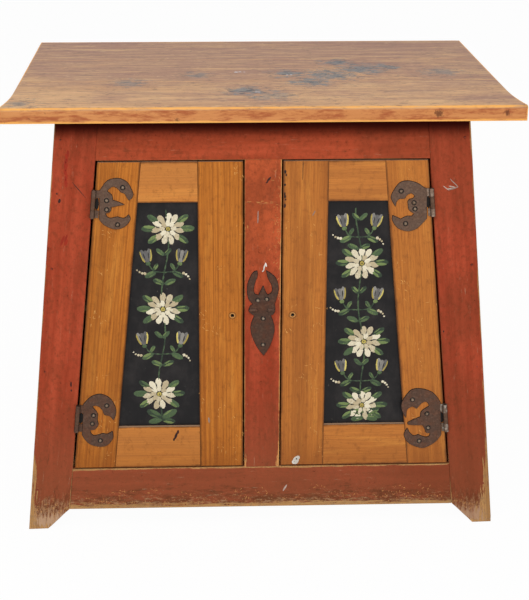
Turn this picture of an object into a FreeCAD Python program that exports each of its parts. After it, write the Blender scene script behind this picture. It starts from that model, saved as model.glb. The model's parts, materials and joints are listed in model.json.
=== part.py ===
import FreeCAD, Part
import Sketcher
import os

# Low painted pine cupboard with a splayed case, a wide overhanging top and two framed doors.
# Frame: +Z up, the front faces -Y, +X to the right of someone who stands in front of it.
# The origin is on the floor, under the middle of the top. Lengths are in millimetres.

DOC = FreeCAD.newDocument("cupboard")

# ---------------------------------------------------------------- driving sizes

SIZES = {
    # top
    "top_width": "960",
    "top_depth": "640",
    "top_thickness": "29",
    "top_front_board": "222",
    "top_back_board": "205",
    "end_inset": "13",
    "end_flare": "125",
    "top_arris": "6",
    # case
    "total_height": "876",
    "front_overhang": "35",
    "case_depth": "590",
    "case_width_floor": "938",
    "case_width_top": "764",
    "foot_height": "44",
    "foot_width": "39",
    "side_foot": "66",
    "side_thickness": "24",
    "side_front_board": "290",
    "back_thickness": "18",
    "back_inner_board": "205",
    "back_gap": "1",
    # face frame
    "frame_thickness": "25",
    "stile_width": "79",
    "top_rail_height": "79",
    "bottom_rail_height": "89",
    "centre_width": "69",
    "frame_tenon": "50",
    "centre_tenon": "32",
    "frame_shoulder": "12",
    "tenon_thickness": "9",
    "joint_clearance": "0.2",
    # inside
    "floor_thickness": "20",
    "floor_front_board": "285",
    "floor_lip": "8",
    "cleat_size": "24",
    "shelf_height": "448",
    "shelf_thickness": "18",
    "shelf_front_board": "250",
    "shelf_setback": "22",
    "shelf_clearance": "0.5",
    "batten_size": "28",
    "strip_thickness": "18",
    "strip_height": "30",
    "strip_end_gap": "13",
    "strip_lap": "11",
    # doors
    "door_thickness": "24",
    "door_gap": "3",
    "hinge_gap": "4",
    "hinge_stile_width": "80.5",
    "inner_stile_width": "85",
    "door_top_rail": "79",
    "door_bottom_rail": "88",
    "door_tenon": "42",
    "door_shoulder": "8",
    "panel_thickness": "9",
    "panel_sunk": "7",
    "groove_depth": "9",
    "knob_height": "458",
    "knob_inset": "20.5",
    "knob_bore": "4.5",
    # hinges: distance of each pin's middle from the door's upper or lower edge, size of each plate,
    # and how far the plate's middle lies above the pin's
    "left_upper_hinge": "79.7",
    "left_upper_plate": "1",
    "left_upper_rise": "1.5",
    "left_lower_hinge": "109.9",
    "left_lower_plate": "1.12",
    "left_lower_rise": "-3",
    "right_upper_hinge": "81.2",
    "right_upper_plate": "1.04",
    "right_upper_rise": "-3.5",
    "right_lower_hinge": "101.3",
    "right_lower_plate": "1.26",
    "right_lower_rise": "0.5",
    "strap": "2",
    "pin_diameter": "5",
    "pin_clearance": "0.05",
    "pin_head": "1.2",
    "pin_head_lip": "1.1",
    "lug_height": "54",
    "knuckle_height": "24",
    "knuckle_clearance": "0.3",
    "leaf_depth": "21",
    "leaf_thickness": "1.8",
    # outline of a hinge plate: reach runs away from the pin, spread along it
    "plate_start": "8.7",
    "ring_start": "10.5",
    "horn_radius": "30",
    "horn_spread": "20",
    "hollow_reach": "27",
    "hollow_spread": "18",
    "hollow_radius": "11.8",
    "bite_reach": "44.5",
    "bite_spread": "10",
    "bite_radius": "12.6",
    "mouth_high": "4",
    "mouth_low": "15",
    "lobe_reach": "18",
    "lobe_spread": "9",
    "lobe_radius": "9.5",
    "spike_base": "12",
    "spike_reach": "48.5",
    "upper_nail_reach": "42",
    "lower_nail_reach": "37.5",
    "horn_nail_spread": "35.5",
    # forged plate on the centre stile: distances across and up from its middle nail's level
    "ornament_height": "450",
    "ornament_thickness": "2.5",
    "ornament_lean": "1.5",
    "spike_up": "69",
    "notch_across": "6",
    "notch_up": "51",
    "hollow_across": "13",
    "hollow_bulge": "18",
    "horn_inner_across": "7",
    "horn_inner_up": "98",
    "horn_tip_across": "9.2",
    "horn_tip_up": "99",
    "horn_bulge": "29.7",
    "horn_bulge_up": "63",
    "shoulder_across": "20",
    "shoulder_up": "33",
    "ear_across": "21",
    "ear_high": "28",
    "ear_bulge": "25.3",
    "ear_bulge_up": "19.5",
    "ear_low": "11",
    "neck_across": "15",
    "neck_up": "7",
    "leaf_bulge": "22.3",
    "leaf_bulge_down": "19",
    "leaf_down": "76",
    "brow_nail_across": "8.5",
    "brow_nail_up": "40",
    "middle_nail_up": "1.5",
    "tip_nail_down": "52",
    # nails: bite is how deep each kind goes into the piece that it fastens to
    "nail_head": "7.6",
    "nail_dome": "2.2",
    "nail_shank": "3",
    "nail_clearance": "0.05",
    "nail_stagger": "30",
    "plate_nail_bite": "18",
    "leaf_nail_head": "0.8",
    "leaf_nail_bite": "14",
    "leaf_nail_inset": "10",
    "leaf_nail_spread": "6",
    "brad_diameter": "3.6",
    "brad_bite": "15",
    "back_nail_bite": "20",
    "floor_nail_bite": "18",
    "batten_nail_bite": "12",
    "cleat_nail_bite": "15",
}

# Cuts start this far outside the wood.
OVERCUT = "2"

SHEET = DOC.addObject("Spreadsheet::Sheet", "sizes")
for row, (alias, text) in enumerate(SIZES.items(), 1):
    SHEET.set(f"A{row}", alias)
    SHEET.set(f"B{row}", text)
    SHEET.setAlias(f"B{row}", alias)
DOC.recompute()


def value(expression):
    """The number that an expression in the sheet's names gives."""
    return float(SHEET.evalExpression(expression))


def size(alias):
    """One driving size as a number."""
    return value(f"sizes.{alias}")


# ---------------------------------------------------------------- heights, depths and edges

SIDES = {"left": -1, "right": 1}
FLOOR = "0"
TOP_UNDERSIDE = "(sizes.total_height - sizes.top_thickness)"
SPLAY = f"((sizes.case_width_floor - sizes.case_width_top) / 2 / {TOP_UNDERSIDE})"
TILT = f"atan({SPLAY})"
COS = f"cos({TILT})"
SIN = f"sin({TILT})"
DOORWAY_TOP = f"({TOP_UNDERSIDE} - sizes.top_rail_height)"
DOORWAY_BOTTOM = "(sizes.foot_height + sizes.bottom_rail_height)"
DOOR_TOP = f"({DOORWAY_TOP} - sizes.door_gap)"
DOOR_BOTTOM = f"({DOORWAY_BOTTOM} + sizes.door_gap)"
DOOR_INNER = "(sizes.centre_width / 2 + sizes.door_gap)"
SIGHT_TOP = f"({DOOR_TOP} - sizes.door_top_rail)"
SIGHT_BOTTOM = f"({DOOR_BOTTOM} + sizes.door_bottom_rail)"
SIGHT_INNER = f"({DOOR_INNER} + sizes.inner_stile_width)"
CASE_FRONT = "(sizes.front_overhang - sizes.top_depth / 2)"
FRAME_BACK = f"({CASE_FRONT} + sizes.frame_thickness)"
CASE_BACK = f"({CASE_FRONT} + sizes.case_depth)"
BACK_INSIDE = f"({CASE_BACK} - sizes.back_thickness)"
INSIDE_DEPTH = "(sizes.case_depth - sizes.frame_thickness - sizes.back_thickness)"
FLOOR_TOP = f"({DOORWAY_BOTTOM} + sizes.floor_lip)"
FLOOR_UNDERSIDE = f"({FLOOR_TOP} - sizes.floor_thickness)"
BARREL_RADIUS = "(sizes.pin_diameter / 2 + sizes.pin_clearance + sizes.strap)"
PIN_FRONT = f"({CASE_FRONT} - {BARREL_RADIUS})"


def case_edge(height):
    """Half the width of the case's outside at a height."""
    return f"(sizes.case_width_floor / 2 - {SPLAY} * ({height}))"


def side_inside(height):
    """Half the width between the side boards' inner faces."""
    return f"({case_edge(height)} - sizes.side_thickness)"


def stile_edge(height):
    """Half the width between the front stiles' inner edges."""
    return f"({case_edge(height)} - sizes.stile_width)"


def door_edge(height):
    """Distance from the middle to a door's hinge edge."""
    return f"({stile_edge(height)} - sizes.hinge_gap)"


def sight_edge(height):
    """Distance from the middle to the hinge stile's inner edge."""
    return f"({door_edge(height)} - sizes.hinge_stile_width)"


def pin_line(height):
    """Distance from the middle to a door's hinge axis."""
    return f"({stile_edge(height)} - sizes.hinge_gap / 2)"


def shifted(edge, amount):
    """An edge moved away from the middle by an amount."""
    return lambda height: f"({edge(height)} + {amount})"


def upright(distance):
    """A vertical edge."""
    return lambda height: distance


def strip(side, inner, outer, low, high, grow="0"):
    """Corners of a board's face between two edges, on one side (-1 left, 1 right)."""
    bottom = f"({low} - {grow})"
    top = f"({high} + {grow})"
    return [
        (f"{side} * ({inner(bottom)} - {grow})", bottom),
        (f"{side} * ({outer(bottom)} + {grow})", bottom),
        (f"{side} * ({outer(top)} + {grow})", top),
        (f"{side} * ({inner(top)} - {grow})", top),
    ]


def span(edge, low, high, grow="0"):
    """Corners of a board's face that reaches the same edge on both sides."""
    bottom = f"({low} - {grow})"
    top = f"({high} + {grow})"
    return [
        (f"-({edge(bottom)} + {grow})", bottom),
        (f"({edge(bottom)} + {grow})", bottom),
        (f"({edge(top)} + {grow})", top),
        (f"-({edge(top)} + {grow})", top),
    ]


# ---------------------------------------------------------------- boards: bodies, sketches, pads, cuts

NODES = []


def new_body(label, depth=None, up=None, node=True):
    """A PartDesign body whose placement is bound to the sheet."""
    body = DOC.addObject("PartDesign::Body", label)
    body.Label = label
    if depth:
        body.setExpression("Placement.Base.y", depth)
    if up:
        body.setExpression("Placement.Base.z", up)
    if node:
        NODES.append(body)
    return body


def new_sketch(body, role, lift="0"):
    """An empty sketch on one of the body's own origin planes, lifted along its normal."""
    sketch = body.newObject("Sketcher::SketchObject", "sketch")
    plane = next(f for f in body.Origin.OriginFeatures if f.Role == role)
    sketch.AttachmentSupport = [(plane, "")]
    sketch.MapMode = "FlatFace"
    sketch.setExpression("AttachmentOffset.Base.z", lift)
    return sketch


def bind(sketch, rule, expression):
    """Adds a sketch constraint whose value follows an expression."""
    index = sketch.addConstraint(Sketcher.Constraint(*rule, value(expression)))
    sketch.setExpression(f"Constraints[{index}]", expression)


def bind_point(sketch, geometry, vertex, point):
    """Ties a sketch point to two expressions."""
    for kind, expression in zip(("DistanceX", "DistanceY"), point):
        bind(sketch, (kind, -1, 1, geometry, vertex), expression)


def chord_arc(start, end, radius, bulge):
    """Arc over a chord. bulge 1 puts its centre left of the way from start to end, -1 right."""
    along = end - start
    left = FreeCAD.Vector(-along.y, along.x, 0).normalize()
    rise = (radius**2 - (along.Length / 2) ** 2) ** 0.5
    centre = (start + end) * 0.5 + left * (bulge * rise)
    circle = Part.Circle(centre, FreeCAD.Vector(0, 0, 1), radius)
    first, last = (start, end) if bulge > 0 else (end, start)
    return Part.ArcOfCircle(circle, circle.parameter(first), circle.parameter(last))


def draw_outline(sketch, points, arcs=None):
    """Closed outline through the points. arcs gives some sides a radius and a bulge, by index."""
    arcs = arcs or {}
    corners = [FreeCAD.Vector(value(x), value(y), 0) for x, y in points]
    count = len(corners)
    ends = []
    for index, start in enumerate(corners):
        end = corners[(index + 1) % count]
        if index in arcs:
            radius, bulge = arcs[index]
            sketch.addGeometry(chord_arc(start, end, value(radius), bulge), False)
            ends.append((1, 2) if bulge > 0 else (2, 1))
        else:
            sketch.addGeometry(Part.LineSegment(start, end), False)
            ends.append((1, 2))
    for index, point in enumerate(points):
        following = (index + 1) % count
        joint = ("Coincident", index, ends[index][1], following, ends[following][0])
        sketch.addConstraint(Sketcher.Constraint(*joint))
        bind_point(sketch, index, ends[index][0], point)
        if index in arcs:
            bind(sketch, ("Radius", index), arcs[index][0])


def draw_circles(sketch, centres, diameter):
    """Circles of one bound diameter on bound centres."""
    for centre in centres:
        place = FreeCAD.Vector(value(centre[0]), value(centre[1]), 0)
        circle = Part.Circle(place, FreeCAD.Vector(0, 0, 1), value(diameter) / 2)
        index = sketch.addGeometry(circle, False)
        bind(sketch, ("Diameter", index), diameter)
        bind_point(sketch, index, 3, centre)


def pad(body, sketch, depth, backwards):
    """Pads a sketch along its normal, or against it."""
    feature = body.newObject("PartDesign::Pad", "pad")
    feature.Profile = (sketch, [""])
    feature.Reversed = backwards
    feature.setExpression("Length", depth)


def pocket(body, sketch, depth=None, reverse=False, label="pocket"):
    """Pockets a sketch against its normal, or right through both ways where no depth is given."""
    feature = body.newObject("PartDesign::Pocket", label)
    feature.Profile = (sketch, [""])
    feature.Reversed = reverse
    if depth is None:
        feature.Type = "ThroughAll"
        feature.Midplane = True
    else:
        feature.setExpression("Length", depth)


def front_pad(body, outline, depth, start="0"):
    """Board face seen from the front, given its thickness towards the back."""
    sketch = new_sketch(body, "XZ_Plane", f"-({start})")
    draw_outline(sketch, outline)
    pad(body, sketch, depth, True)


def front_pocket(body, outline, depth, start):
    """Mortise or groove seen from the front."""
    sketch = new_sketch(body, "XZ_Plane", f"-({start})")
    draw_outline(sketch, outline)
    pocket(body, sketch, depth)


def front_bores(body, centres, diameter, depth, start="0", label="pocket"):
    """Round holes from the front."""
    sketch = new_sketch(body, "XZ_Plane", f"-({start})")
    draw_circles(sketch, centres, diameter)
    pocket(body, sketch, depth, label=label)


def through_bores(body, role, centres, diameter):
    """Round holes right through along a plane's normal."""
    sketch = new_sketch(body, role)
    draw_circles(sketch, centres, diameter)
    pocket(body, sketch)


def round_edges(body, radius, chosen):
    """Rounds the body's edges that a test picks out."""
    DOC.recompute()
    base = body.Tip
    names = [f"Edge{i}" for i, edge in enumerate(base.Shape.Edges, 1) if chosen(edge)]
    fillet = body.newObject("PartDesign::Fillet", "fillet")
    fillet.Base = (base, names)
    fillet.setExpression("Radius", radius)


def new_feature(label, shape, placement=None):
    """A piece whose shape comes from Part's own functions."""
    feature = DOC.addObject("Part::Feature", label)
    feature.Label = label
    feature.Shape = shape
    if placement:
        feature.Placement = placement
    NODES.append(feature)


# ---------------------------------------------------------------- where the nails go

NAIL_BORE = "(sizes.nail_shank + 2 * sizes.nail_clearance)"
BRAD_BORE = "(sizes.brad_diameter + 2 * sizes.nail_clearance)"
SIDE_MIDDLE = shifted(case_edge, "-sizes.side_thickness / 2")
CLEAT_LOW = f"({FLOOR_UNDERSIDE} - sizes.cleat_size)"
SHELF_CLEAT_LOW = "(sizes.shelf_height - sizes.cleat_size)"
BATTEN_LOW = f"({TOP_UNDERSIDE} - sizes.batten_size)"
FRONT_JOINT = "(sizes.top_front_board - sizes.top_depth / 2)"
BACK_JOINT = "(sizes.top_depth / 2 - sizes.top_back_board)"
FLOOR_JOINT = f"({FRAME_BACK} + sizes.floor_front_board)"
SIDE_JOINT = f"({FRAME_BACK} + sizes.side_front_board)"
FLOOR_NAIL_ACROSS = f"({side_inside(FLOOR_UNDERSIDE)} - sizes.cleat_size / 2)"
BATTEN_NAIL_ACROSS = f"({side_inside(BATTEN_LOW)} - sizes.batten_size / 2)"


def share(start, end, part):
    """A place between two others, at a part of the way."""
    return f"({start} + ({end} - {start}) * {part})"


BRAD_HEIGHTS = [
    share("sizes.foot_height", DOORWAY_BOTTOM, "1 / 2"),
    share(DOORWAY_BOTTOM, DOORWAY_TOP, "1 / 3"),
    share(DOORWAY_BOTTOM, DOORWAY_TOP, "2 / 3"),
    share(DOORWAY_TOP, TOP_UNDERSIDE, "1 / 2"),
]
BACK_HEIGHTS = [
    share("sizes.foot_height", CLEAT_LOW, "1 / 2"),
    share(FLOOR_UNDERSIDE, FLOOR_TOP, "1 / 2"),
    share(FLOOR_TOP, TOP_UNDERSIDE, "1 / 2"),
    share(BATTEN_LOW, TOP_UNDERSIDE, "1 / 2"),
]
CLEAT_HEIGHTS = {
    "floor_cleat": share(CLEAT_LOW, FLOOR_UNDERSIDE, "1 / 2"),
    "shelf_cleat": share(SHELF_CLEAT_LOW, "sizes.shelf_height", "1 / 2"),
    "top_batten": share(BATTEN_LOW, TOP_UNDERSIDE, "1 / 2"),
}
FLOOR_NAILS = {
    "front": [share(FRAME_BACK, FLOOR_JOINT, "1 / 4"), share(FRAME_BACK, FLOOR_JOINT, "3 / 4")],
    "back": [share(FLOOR_JOINT, BACK_INSIDE, "1 / 4"), share(FLOOR_JOINT, BACK_INSIDE, "3 / 4")],
}
BATTEN_NAILS = {
    "front": share(FRAME_BACK, FRONT_JOINT, "1 / 2"),
    "middle": share(FRONT_JOINT, BACK_JOINT, "1 / 2"),
    "back": share(BACK_JOINT, BACK_INSIDE, "1 / 2"),
}
# The level nails in cleats and battens stand clear of the upright ones.
FLOOR_CLEAT_DEPTHS = {
    "front": f"({FLOOR_NAILS['front'][0]} + sizes.nail_stagger)",
    "back": f"({FLOOR_NAILS['back'][1]} - sizes.nail_stagger)",
}
CLEAT_DEPTHS = {
    "floor_cleat": FLOOR_CLEAT_DEPTHS,
    "shelf_cleat": FLOOR_CLEAT_DEPTHS,
    "top_batten": {
        "front": f"({BATTEN_NAILS['front']} + sizes.nail_stagger)",
        "back": f"({BATTEN_NAILS['back']} - sizes.nail_stagger)",
    },
}


def brad_centres(side):
    """Brads through a front stile into the side board's front edge."""
    return [(f"{side} * {SIDE_MIDDLE(height)}", height) for height in BRAD_HEIGHTS]


def back_side_centres(side):
    """Nails through an outer back board into the side board's back edge."""
    return [(f"{side} * {SIDE_MIDDLE(height)}", height) for height in BACK_HEIGHTS]


def back_floor_centres(side):
    """Nails through an inner back board into the floor boards' back edge."""
    height = BACK_HEIGHTS[1]
    return [(f"{side} * (sizes.back_inner_board * {part})", height) for part in ("1 / 6", "5 / 6")]


# ---------------------------------------------------------------- top

BOARD_FRONT = "(-sizes.top_depth / 2)"
BOARD_BACK = "(sizes.top_depth / 2)"
END_HALF = "(sizes.top_width / 2 - sizes.end_inset)"
FLARE_END = "(sizes.end_flare - sizes.top_depth / 2)"
FLARE_RADIUS = "((sizes.end_inset ^ 2 + sizes.end_flare ^ 2) / 2 / sizes.end_inset)"
TOP_BOARDS = {
    "front": (BOARD_FRONT, FRONT_JOINT),
    "middle": (FRONT_JOINT, BACK_JOINT),
    "back": (BACK_JOINT, BOARD_BACK),
}


def front_arris(edge):
    """True for the upper edge along the front of the top."""
    box = edge.BoundBox
    line = value(BOARD_FRONT)
    at_front = max(abs(box.YMin - line), abs(box.YMax - line)) < 1e-6
    return at_front and box.ZMin > size("top_thickness") / 2


def build_top():
    """Three edge-joined boards. The ends curve out to the front corners."""
    for name, (near, far) in TOP_BOARDS.items():
        board = new_body(f"top_{name}_board", up=TOP_UNDERSIDE)
        corners = [(f"-{END_HALF}", near), (END_HALF, near), (END_HALF, far), (f"-{END_HALF}", far)]
        arcs = {}
        if name == "front":
            corners = [
                ("-sizes.top_width / 2", near),
                ("sizes.top_width / 2", near),
                (END_HALF, FLARE_END),
                (END_HALF, far),
                (f"-{END_HALF}", far),
                (f"-{END_HALF}", FLARE_END),
            ]
            arcs = {1: (FLARE_RADIUS, -1), 5: (FLARE_RADIUS, -1)}
        sketch = new_sketch(board, "XY_Plane")
        draw_outline(sketch, corners, arcs)
        pad(board, sketch, "sizes.top_thickness", False)
        sketch = new_sketch(board, "XY_Plane")
        places = [(f"{side} * {BATTEN_NAIL_ACROSS}", BATTEN_NAILS[name]) for side in SIDES.values()]
        draw_circles(sketch, places, NAIL_BORE)
        pocket(board, sketch, "sizes.batten_nail_bite", reverse=True)
        if name == "front":
            round_edges(board, "sizes.top_arris", front_arris)


# ---------------------------------------------------------------- case

TENON_FRONT = "((sizes.frame_thickness - sizes.tenon_thickness) / 2)"
MORTISE_FRONT = f"({TENON_FRONT} - sizes.joint_clearance)"
MORTISE_THICKNESS = "(sizes.tenon_thickness + 2 * sizes.joint_clearance)"
TENON_REACH = shifted(stile_edge, "sizes.frame_tenon")
CENTRE_TENON_HALF = upright("(sizes.centre_width / 2 - sizes.frame_shoulder)")
FRAME_RAILS = {
    "front_top_rail": (DOORWAY_TOP, TOP_UNDERSIDE, DOORWAY_TOP),
    "front_bottom_rail": ("sizes.foot_height", DOORWAY_BOTTOM, f"({DOORWAY_BOTTOM} - sizes.centre_tenon)"),
}


def rail_tenon(rail):
    """Lower and upper edge of a frame rail's tenons."""
    low, high, _ = FRAME_RAILS[rail]
    return f"({low} + sizes.frame_shoulder)", f"({high} - sizes.frame_shoulder)"


def foot_outline(side, inner=None):
    """Outermost board of the front or the back, with its foot. It ends at a stile's edge or inner."""
    toe = "(sizes.case_width_floor / 2 - sizes.foot_width)"
    edge = inner or stile_edge
    points = [
        (f"{side} * {case_edge(FLOOR)}", FLOOR),
        (f"{side} * {case_edge(TOP_UNDERSIDE)}", TOP_UNDERSIDE),
        (f"{side} * {edge(TOP_UNDERSIDE)}", TOP_UNDERSIDE),
        (f"{side} * {edge('sizes.foot_height')}", "sizes.foot_height"),
    ]
    if inner:
        points.append((f"{side} * {stile_edge('sizes.foot_height')}", "sizes.foot_height"))
    points.append((f"{side} * {toe}", FLOOR))
    return points


def build_face_frame():
    """Two outer stiles with feet, a centre stile and two rails, mortised together."""
    for name, side in SIDES.items():
        blank = new_body(f"{name}_front_stile_blank", depth=CASE_FRONT, node=False)
        front_pad(blank, foot_outline(side), "sizes.frame_thickness")
        for rail in FRAME_RAILS:
            mouth = shifted(stile_edge, f"-{OVERCUT}")
            hole = strip(side, mouth, TENON_REACH, *rail_tenon(rail), "sizes.joint_clearance")
            front_pocket(blank, hole, MORTISE_THICKNESS, MORTISE_FRONT)
        front_bores(blank, brad_centres(side), BRAD_BORE, "sizes.frame_thickness")
        drill_leaf_nails(blank, name)

    for label, (low, high, socket) in FRAME_RAILS.items():
        rail = new_body(label, depth=CASE_FRONT)
        front_pad(rail, span(stile_edge, low, high), "sizes.frame_thickness")
        front_pad(rail, span(TENON_REACH, *rail_tenon(label)), "sizes.tenon_thickness", TENON_FRONT)
        hole = span(CENTRE_TENON_HALF, socket, f"({socket} + sizes.centre_tenon)", "sizes.joint_clearance")
        front_pocket(rail, hole, MORTISE_THICKNESS, MORTISE_FRONT)

    centre = new_body("centre_stile", depth=CASE_FRONT)
    half = upright("(sizes.centre_width / 2)")
    low = f"({DOORWAY_BOTTOM} - sizes.centre_tenon)"
    high = f"({DOORWAY_TOP} + sizes.centre_tenon)"
    front_pad(centre, span(half, DOORWAY_BOTTOM, DOORWAY_TOP), "sizes.frame_thickness")
    front_pad(centre, span(CENTRE_TENON_HALF, low, high), "sizes.tenon_thickness", TENON_FRONT)
    front_bores(centre, ornament_nail_centres(), NAIL_BORE, "sizes.plate_nail_bite")


def side_foot_cut(part, width):
    """Cut between the feet of a side board, seen from the side, from the board's front edge."""
    below = f"-{OVERCUT}"
    if part == "front":
        toe = "sizes.side_foot"
        heel = f"({toe} + sizes.foot_height)"
        end = f"({width} + {OVERCUT})"
    else:
        toe = f"({width} - sizes.side_foot)"
        heel = f"({toe} - sizes.foot_height)"
        end = below
    return [(toe, FLOOR), (heel, "sizes.foot_height"), (end, "sizes.foot_height"), (end, below), (toe, below)]


def side_bores(board, side, spots, bite):
    """Blind holes for the cleat nails, into a side board's inner face."""
    for spot in spots:
        inside = f"({side_inside(spot[1])} + {bite})"
        sketch = new_sketch(board, "YZ_Plane", f"{side} * {inside}")
        draw_circles(sketch, [spot], NAIL_BORE)
        pocket(board, sketch, f"({bite} + {OVERCUT})", reverse=side < 0)


def build_sides():
    """Two upright boards on each side, with a foot at the front and at the back."""
    boards = {
        "front": (FRAME_BACK, "sizes.side_front_board"),
        "back": (SIDE_JOINT, f"({INSIDE_DEPTH} - sizes.side_front_board)"),
    }
    for name, side in SIDES.items():
        for part, (start, width) in boards.items():
            board = new_body(f"{name}_side_{part}_board", depth=start)
            front_pad(board, strip(side, side_inside, case_edge, FLOOR, TOP_UNDERSIDE), width)
            sketch = new_sketch(board, "YZ_Plane")
            draw_outline(sketch, side_foot_cut(part, width))
            pocket(board, sketch)
            if part == "front":
                front_bores(board, brad_centres(side), BRAD_BORE, "sizes.brad_bite")
            else:
                bite = "sizes.back_nail_bite"
                front_bores(board, back_side_centres(side), NAIL_BORE, bite, f"({width} - {bite})")
            spots = [
                (f"({CLEAT_DEPTHS[bar][part]} - {start})", height)
                for bar, height in CLEAT_HEIGHTS.items()
            ]
            side_bores(board, side, spots, "sizes.cleat_nail_bite")


def build_back():
    """Four upright boards nailed to the side boards and the floor boards."""
    for name, side in SIDES.items():
        outer = new_body(f"back_{name}_board", depth=BACK_INSIDE)
        edge = upright("(sizes.back_inner_board + sizes.back_gap)")
        front_pad(outer, foot_outline(side, edge), "sizes.back_thickness")
        front_bores(outer, back_side_centres(side), NAIL_BORE, "sizes.back_thickness")
        inner = new_body(f"back_inner_{name}_board", depth=BACK_INSIDE)
        edges = upright("(sizes.back_gap / 2)"), upright("sizes.back_inner_board")
        front_pad(inner, strip(side, *edges, "sizes.foot_height", TOP_UNDERSIDE), "sizes.back_thickness")
        front_bores(inner, back_floor_centres(side), NAIL_BORE, "sizes.back_thickness")


# ---------------------------------------------------------------- inside

SHELF_FRONT = f"({FRAME_BACK} + sizes.shelf_setback)"
SHELF_HIGH = "(sizes.shelf_height + sizes.shelf_thickness)"
STRIP_LOW = f"({DOORWAY_TOP} - sizes.strip_lap)"
STRIP_HIGH = f"({STRIP_LOW} + sizes.strip_height)"
BARS = {
    "floor_cleat": (CLEAT_LOW, FLOOR_UNDERSIDE, "sizes.cleat_size"),
    "shelf_cleat": (SHELF_CLEAT_LOW, "sizes.shelf_height", "sizes.cleat_size"),
    "top_batten": (BATTEN_LOW, TOP_UNDERSIDE, "sizes.batten_size"),
}


def build_floor():
    """Two floor boards from side to side. Their front edge is the doors' lower stop."""
    boards = {
        "front": (FRAME_BACK, "sizes.floor_front_board"),
        "back": (FLOOR_JOINT, f"({INSIDE_DEPTH} - sizes.floor_front_board)"),
    }
    for part, (start, width) in boards.items():
        board = new_body(f"floor_{part}_board", depth=start)
        front_pad(board, span(side_inside, FLOOR_UNDERSIDE, FLOOR_TOP), width)
        if part == "back":
            bite = "sizes.back_nail_bite"
            centres = back_floor_centres(-1) + back_floor_centres(1)
            front_bores(board, centres, NAIL_BORE, bite, f"({width} - {bite})")
        places = [f"({place} - {start})" for place in FLOOR_NAILS[part]]
        centres = [(f"{side} * {FLOOR_NAIL_ACROSS}", place) for side in SIDES.values() for place in places]
        through_bores(board, "XY_Plane", centres, NAIL_BORE)


def build_shelf():
    """Two loose shelf boards. Their square ends stay clear of the leaning sides."""
    half = upright(f"({side_inside(SHELF_HIGH)} - sizes.shelf_clearance)")
    back_width = f"({INSIDE_DEPTH} - sizes.shelf_setback - sizes.shelf_front_board)"
    boards = {
        "front": (SHELF_FRONT, "sizes.shelf_front_board"),
        "back": (f"({SHELF_FRONT} + sizes.shelf_front_board)", back_width),
    }
    for part, (start, width) in boards.items():
        board = new_body(f"shelf_{part}_board", depth=start)
        front_pad(board, span(half, "sizes.shelf_height", SHELF_HIGH), width)


def upright_bores(bar, side, across, depths, reach=None):
    """Upright holes in a cleat or a batten: right through, or so far down from the floor boards."""
    centres = [(f"{side} * {across}", f"({depth} - {FRAME_BACK})") for depth in depths]
    sketch = new_sketch(bar, "XY_Plane", FLOOR_UNDERSIDE if reach else "0")
    draw_circles(sketch, centres, NAIL_BORE)
    pocket(bar, sketch, reach)


def build_bars():
    """Cleats under the floor and the shelf, battens under the top, and the doors' upper stop."""
    for name, side in SIDES.items():
        for part, (low, high, across) in BARS.items():
            bar = new_body(f"{name}_{part}", depth=FRAME_BACK)
            inner = shifted(side_inside, f"-{across}")
            front_pad(bar, strip(side, inner, side_inside, low, high), INSIDE_DEPTH)
            depths = CLEAT_DEPTHS[part].values()
            spots = [(f"({depth} - {FRAME_BACK})", CLEAT_HEIGHTS[part]) for depth in depths]
            through_bores(bar, "YZ_Plane", spots, NAIL_BORE)
            if part == "floor_cleat":
                depths = FLOOR_NAILS["front"] + FLOOR_NAILS["back"]
                upright_bores(bar, side, FLOOR_NAIL_ACROSS, depths, "sizes.floor_nail_bite")
            if part == "top_batten":
                upright_bores(bar, side, BATTEN_NAIL_ACROSS, BATTEN_NAILS.values())
    stop = new_body("door_stop_strip", depth=FRAME_BACK)
    half = upright(f"({stile_edge(STRIP_HIGH)} - sizes.strip_end_gap)")
    front_pad(stop, span(half, STRIP_LOW, STRIP_HIGH), "sizes.strip_thickness")


# ---------------------------------------------------------------- doors

LEVELS = ("upper", "lower")
GROOVE_FRONT = "(sizes.panel_sunk - sizes.joint_clearance)"
GROOVE_THICKNESS = "(sizes.panel_thickness + 2 * sizes.joint_clearance)"
DOOR_MORTISE_THICKNESS = "(sizes.tenon_thickness + 2 * sizes.joint_clearance)"
GROOVE_SPAN = "(sizes.groove_depth + 2 * sizes.joint_clearance)"
# A plate's outermost nail goes through a rail's tenon, or past it on a taller door.
HORN_NAIL = "horn_nail_bore"
DOOR_RAILS = {
    "top_rail": (
        SIGHT_TOP,
        DOOR_TOP,
        f"({SIGHT_TOP} + {GROOVE_SPAN})",
        f"({DOOR_TOP} - sizes.door_shoulder)",
    ),
    "bottom_rail": (
        DOOR_BOTTOM,
        SIGHT_BOTTOM,
        f"({DOOR_BOTTOM} + sizes.door_shoulder)",
        f"({SIGHT_BOTTOM} - {GROOVE_SPAN})",
    ),
}


def hinge_height(name, level):
    """Height of a pin's middle, measured from the nearer edge of the door."""
    if level == "upper":
        return f"({DOOR_TOP} - sizes.{name}_upper_hinge)"
    return f"({DOOR_BOTTOM} + sizes.{name}_lower_hinge)"


def on_hinge(name, level, reach, rise):
    """Place on the front, from a hinge's own reach (away from the pin) and rise (along it)."""
    height = hinge_height(name, level)
    across = f"({SIDES[name]} * ({pin_line(height)} - ({reach}) * {COS} - ({rise}) * {SIN}))"
    return across, f"({height} - ({reach}) * {SIN} + ({rise}) * {COS})"


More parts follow.
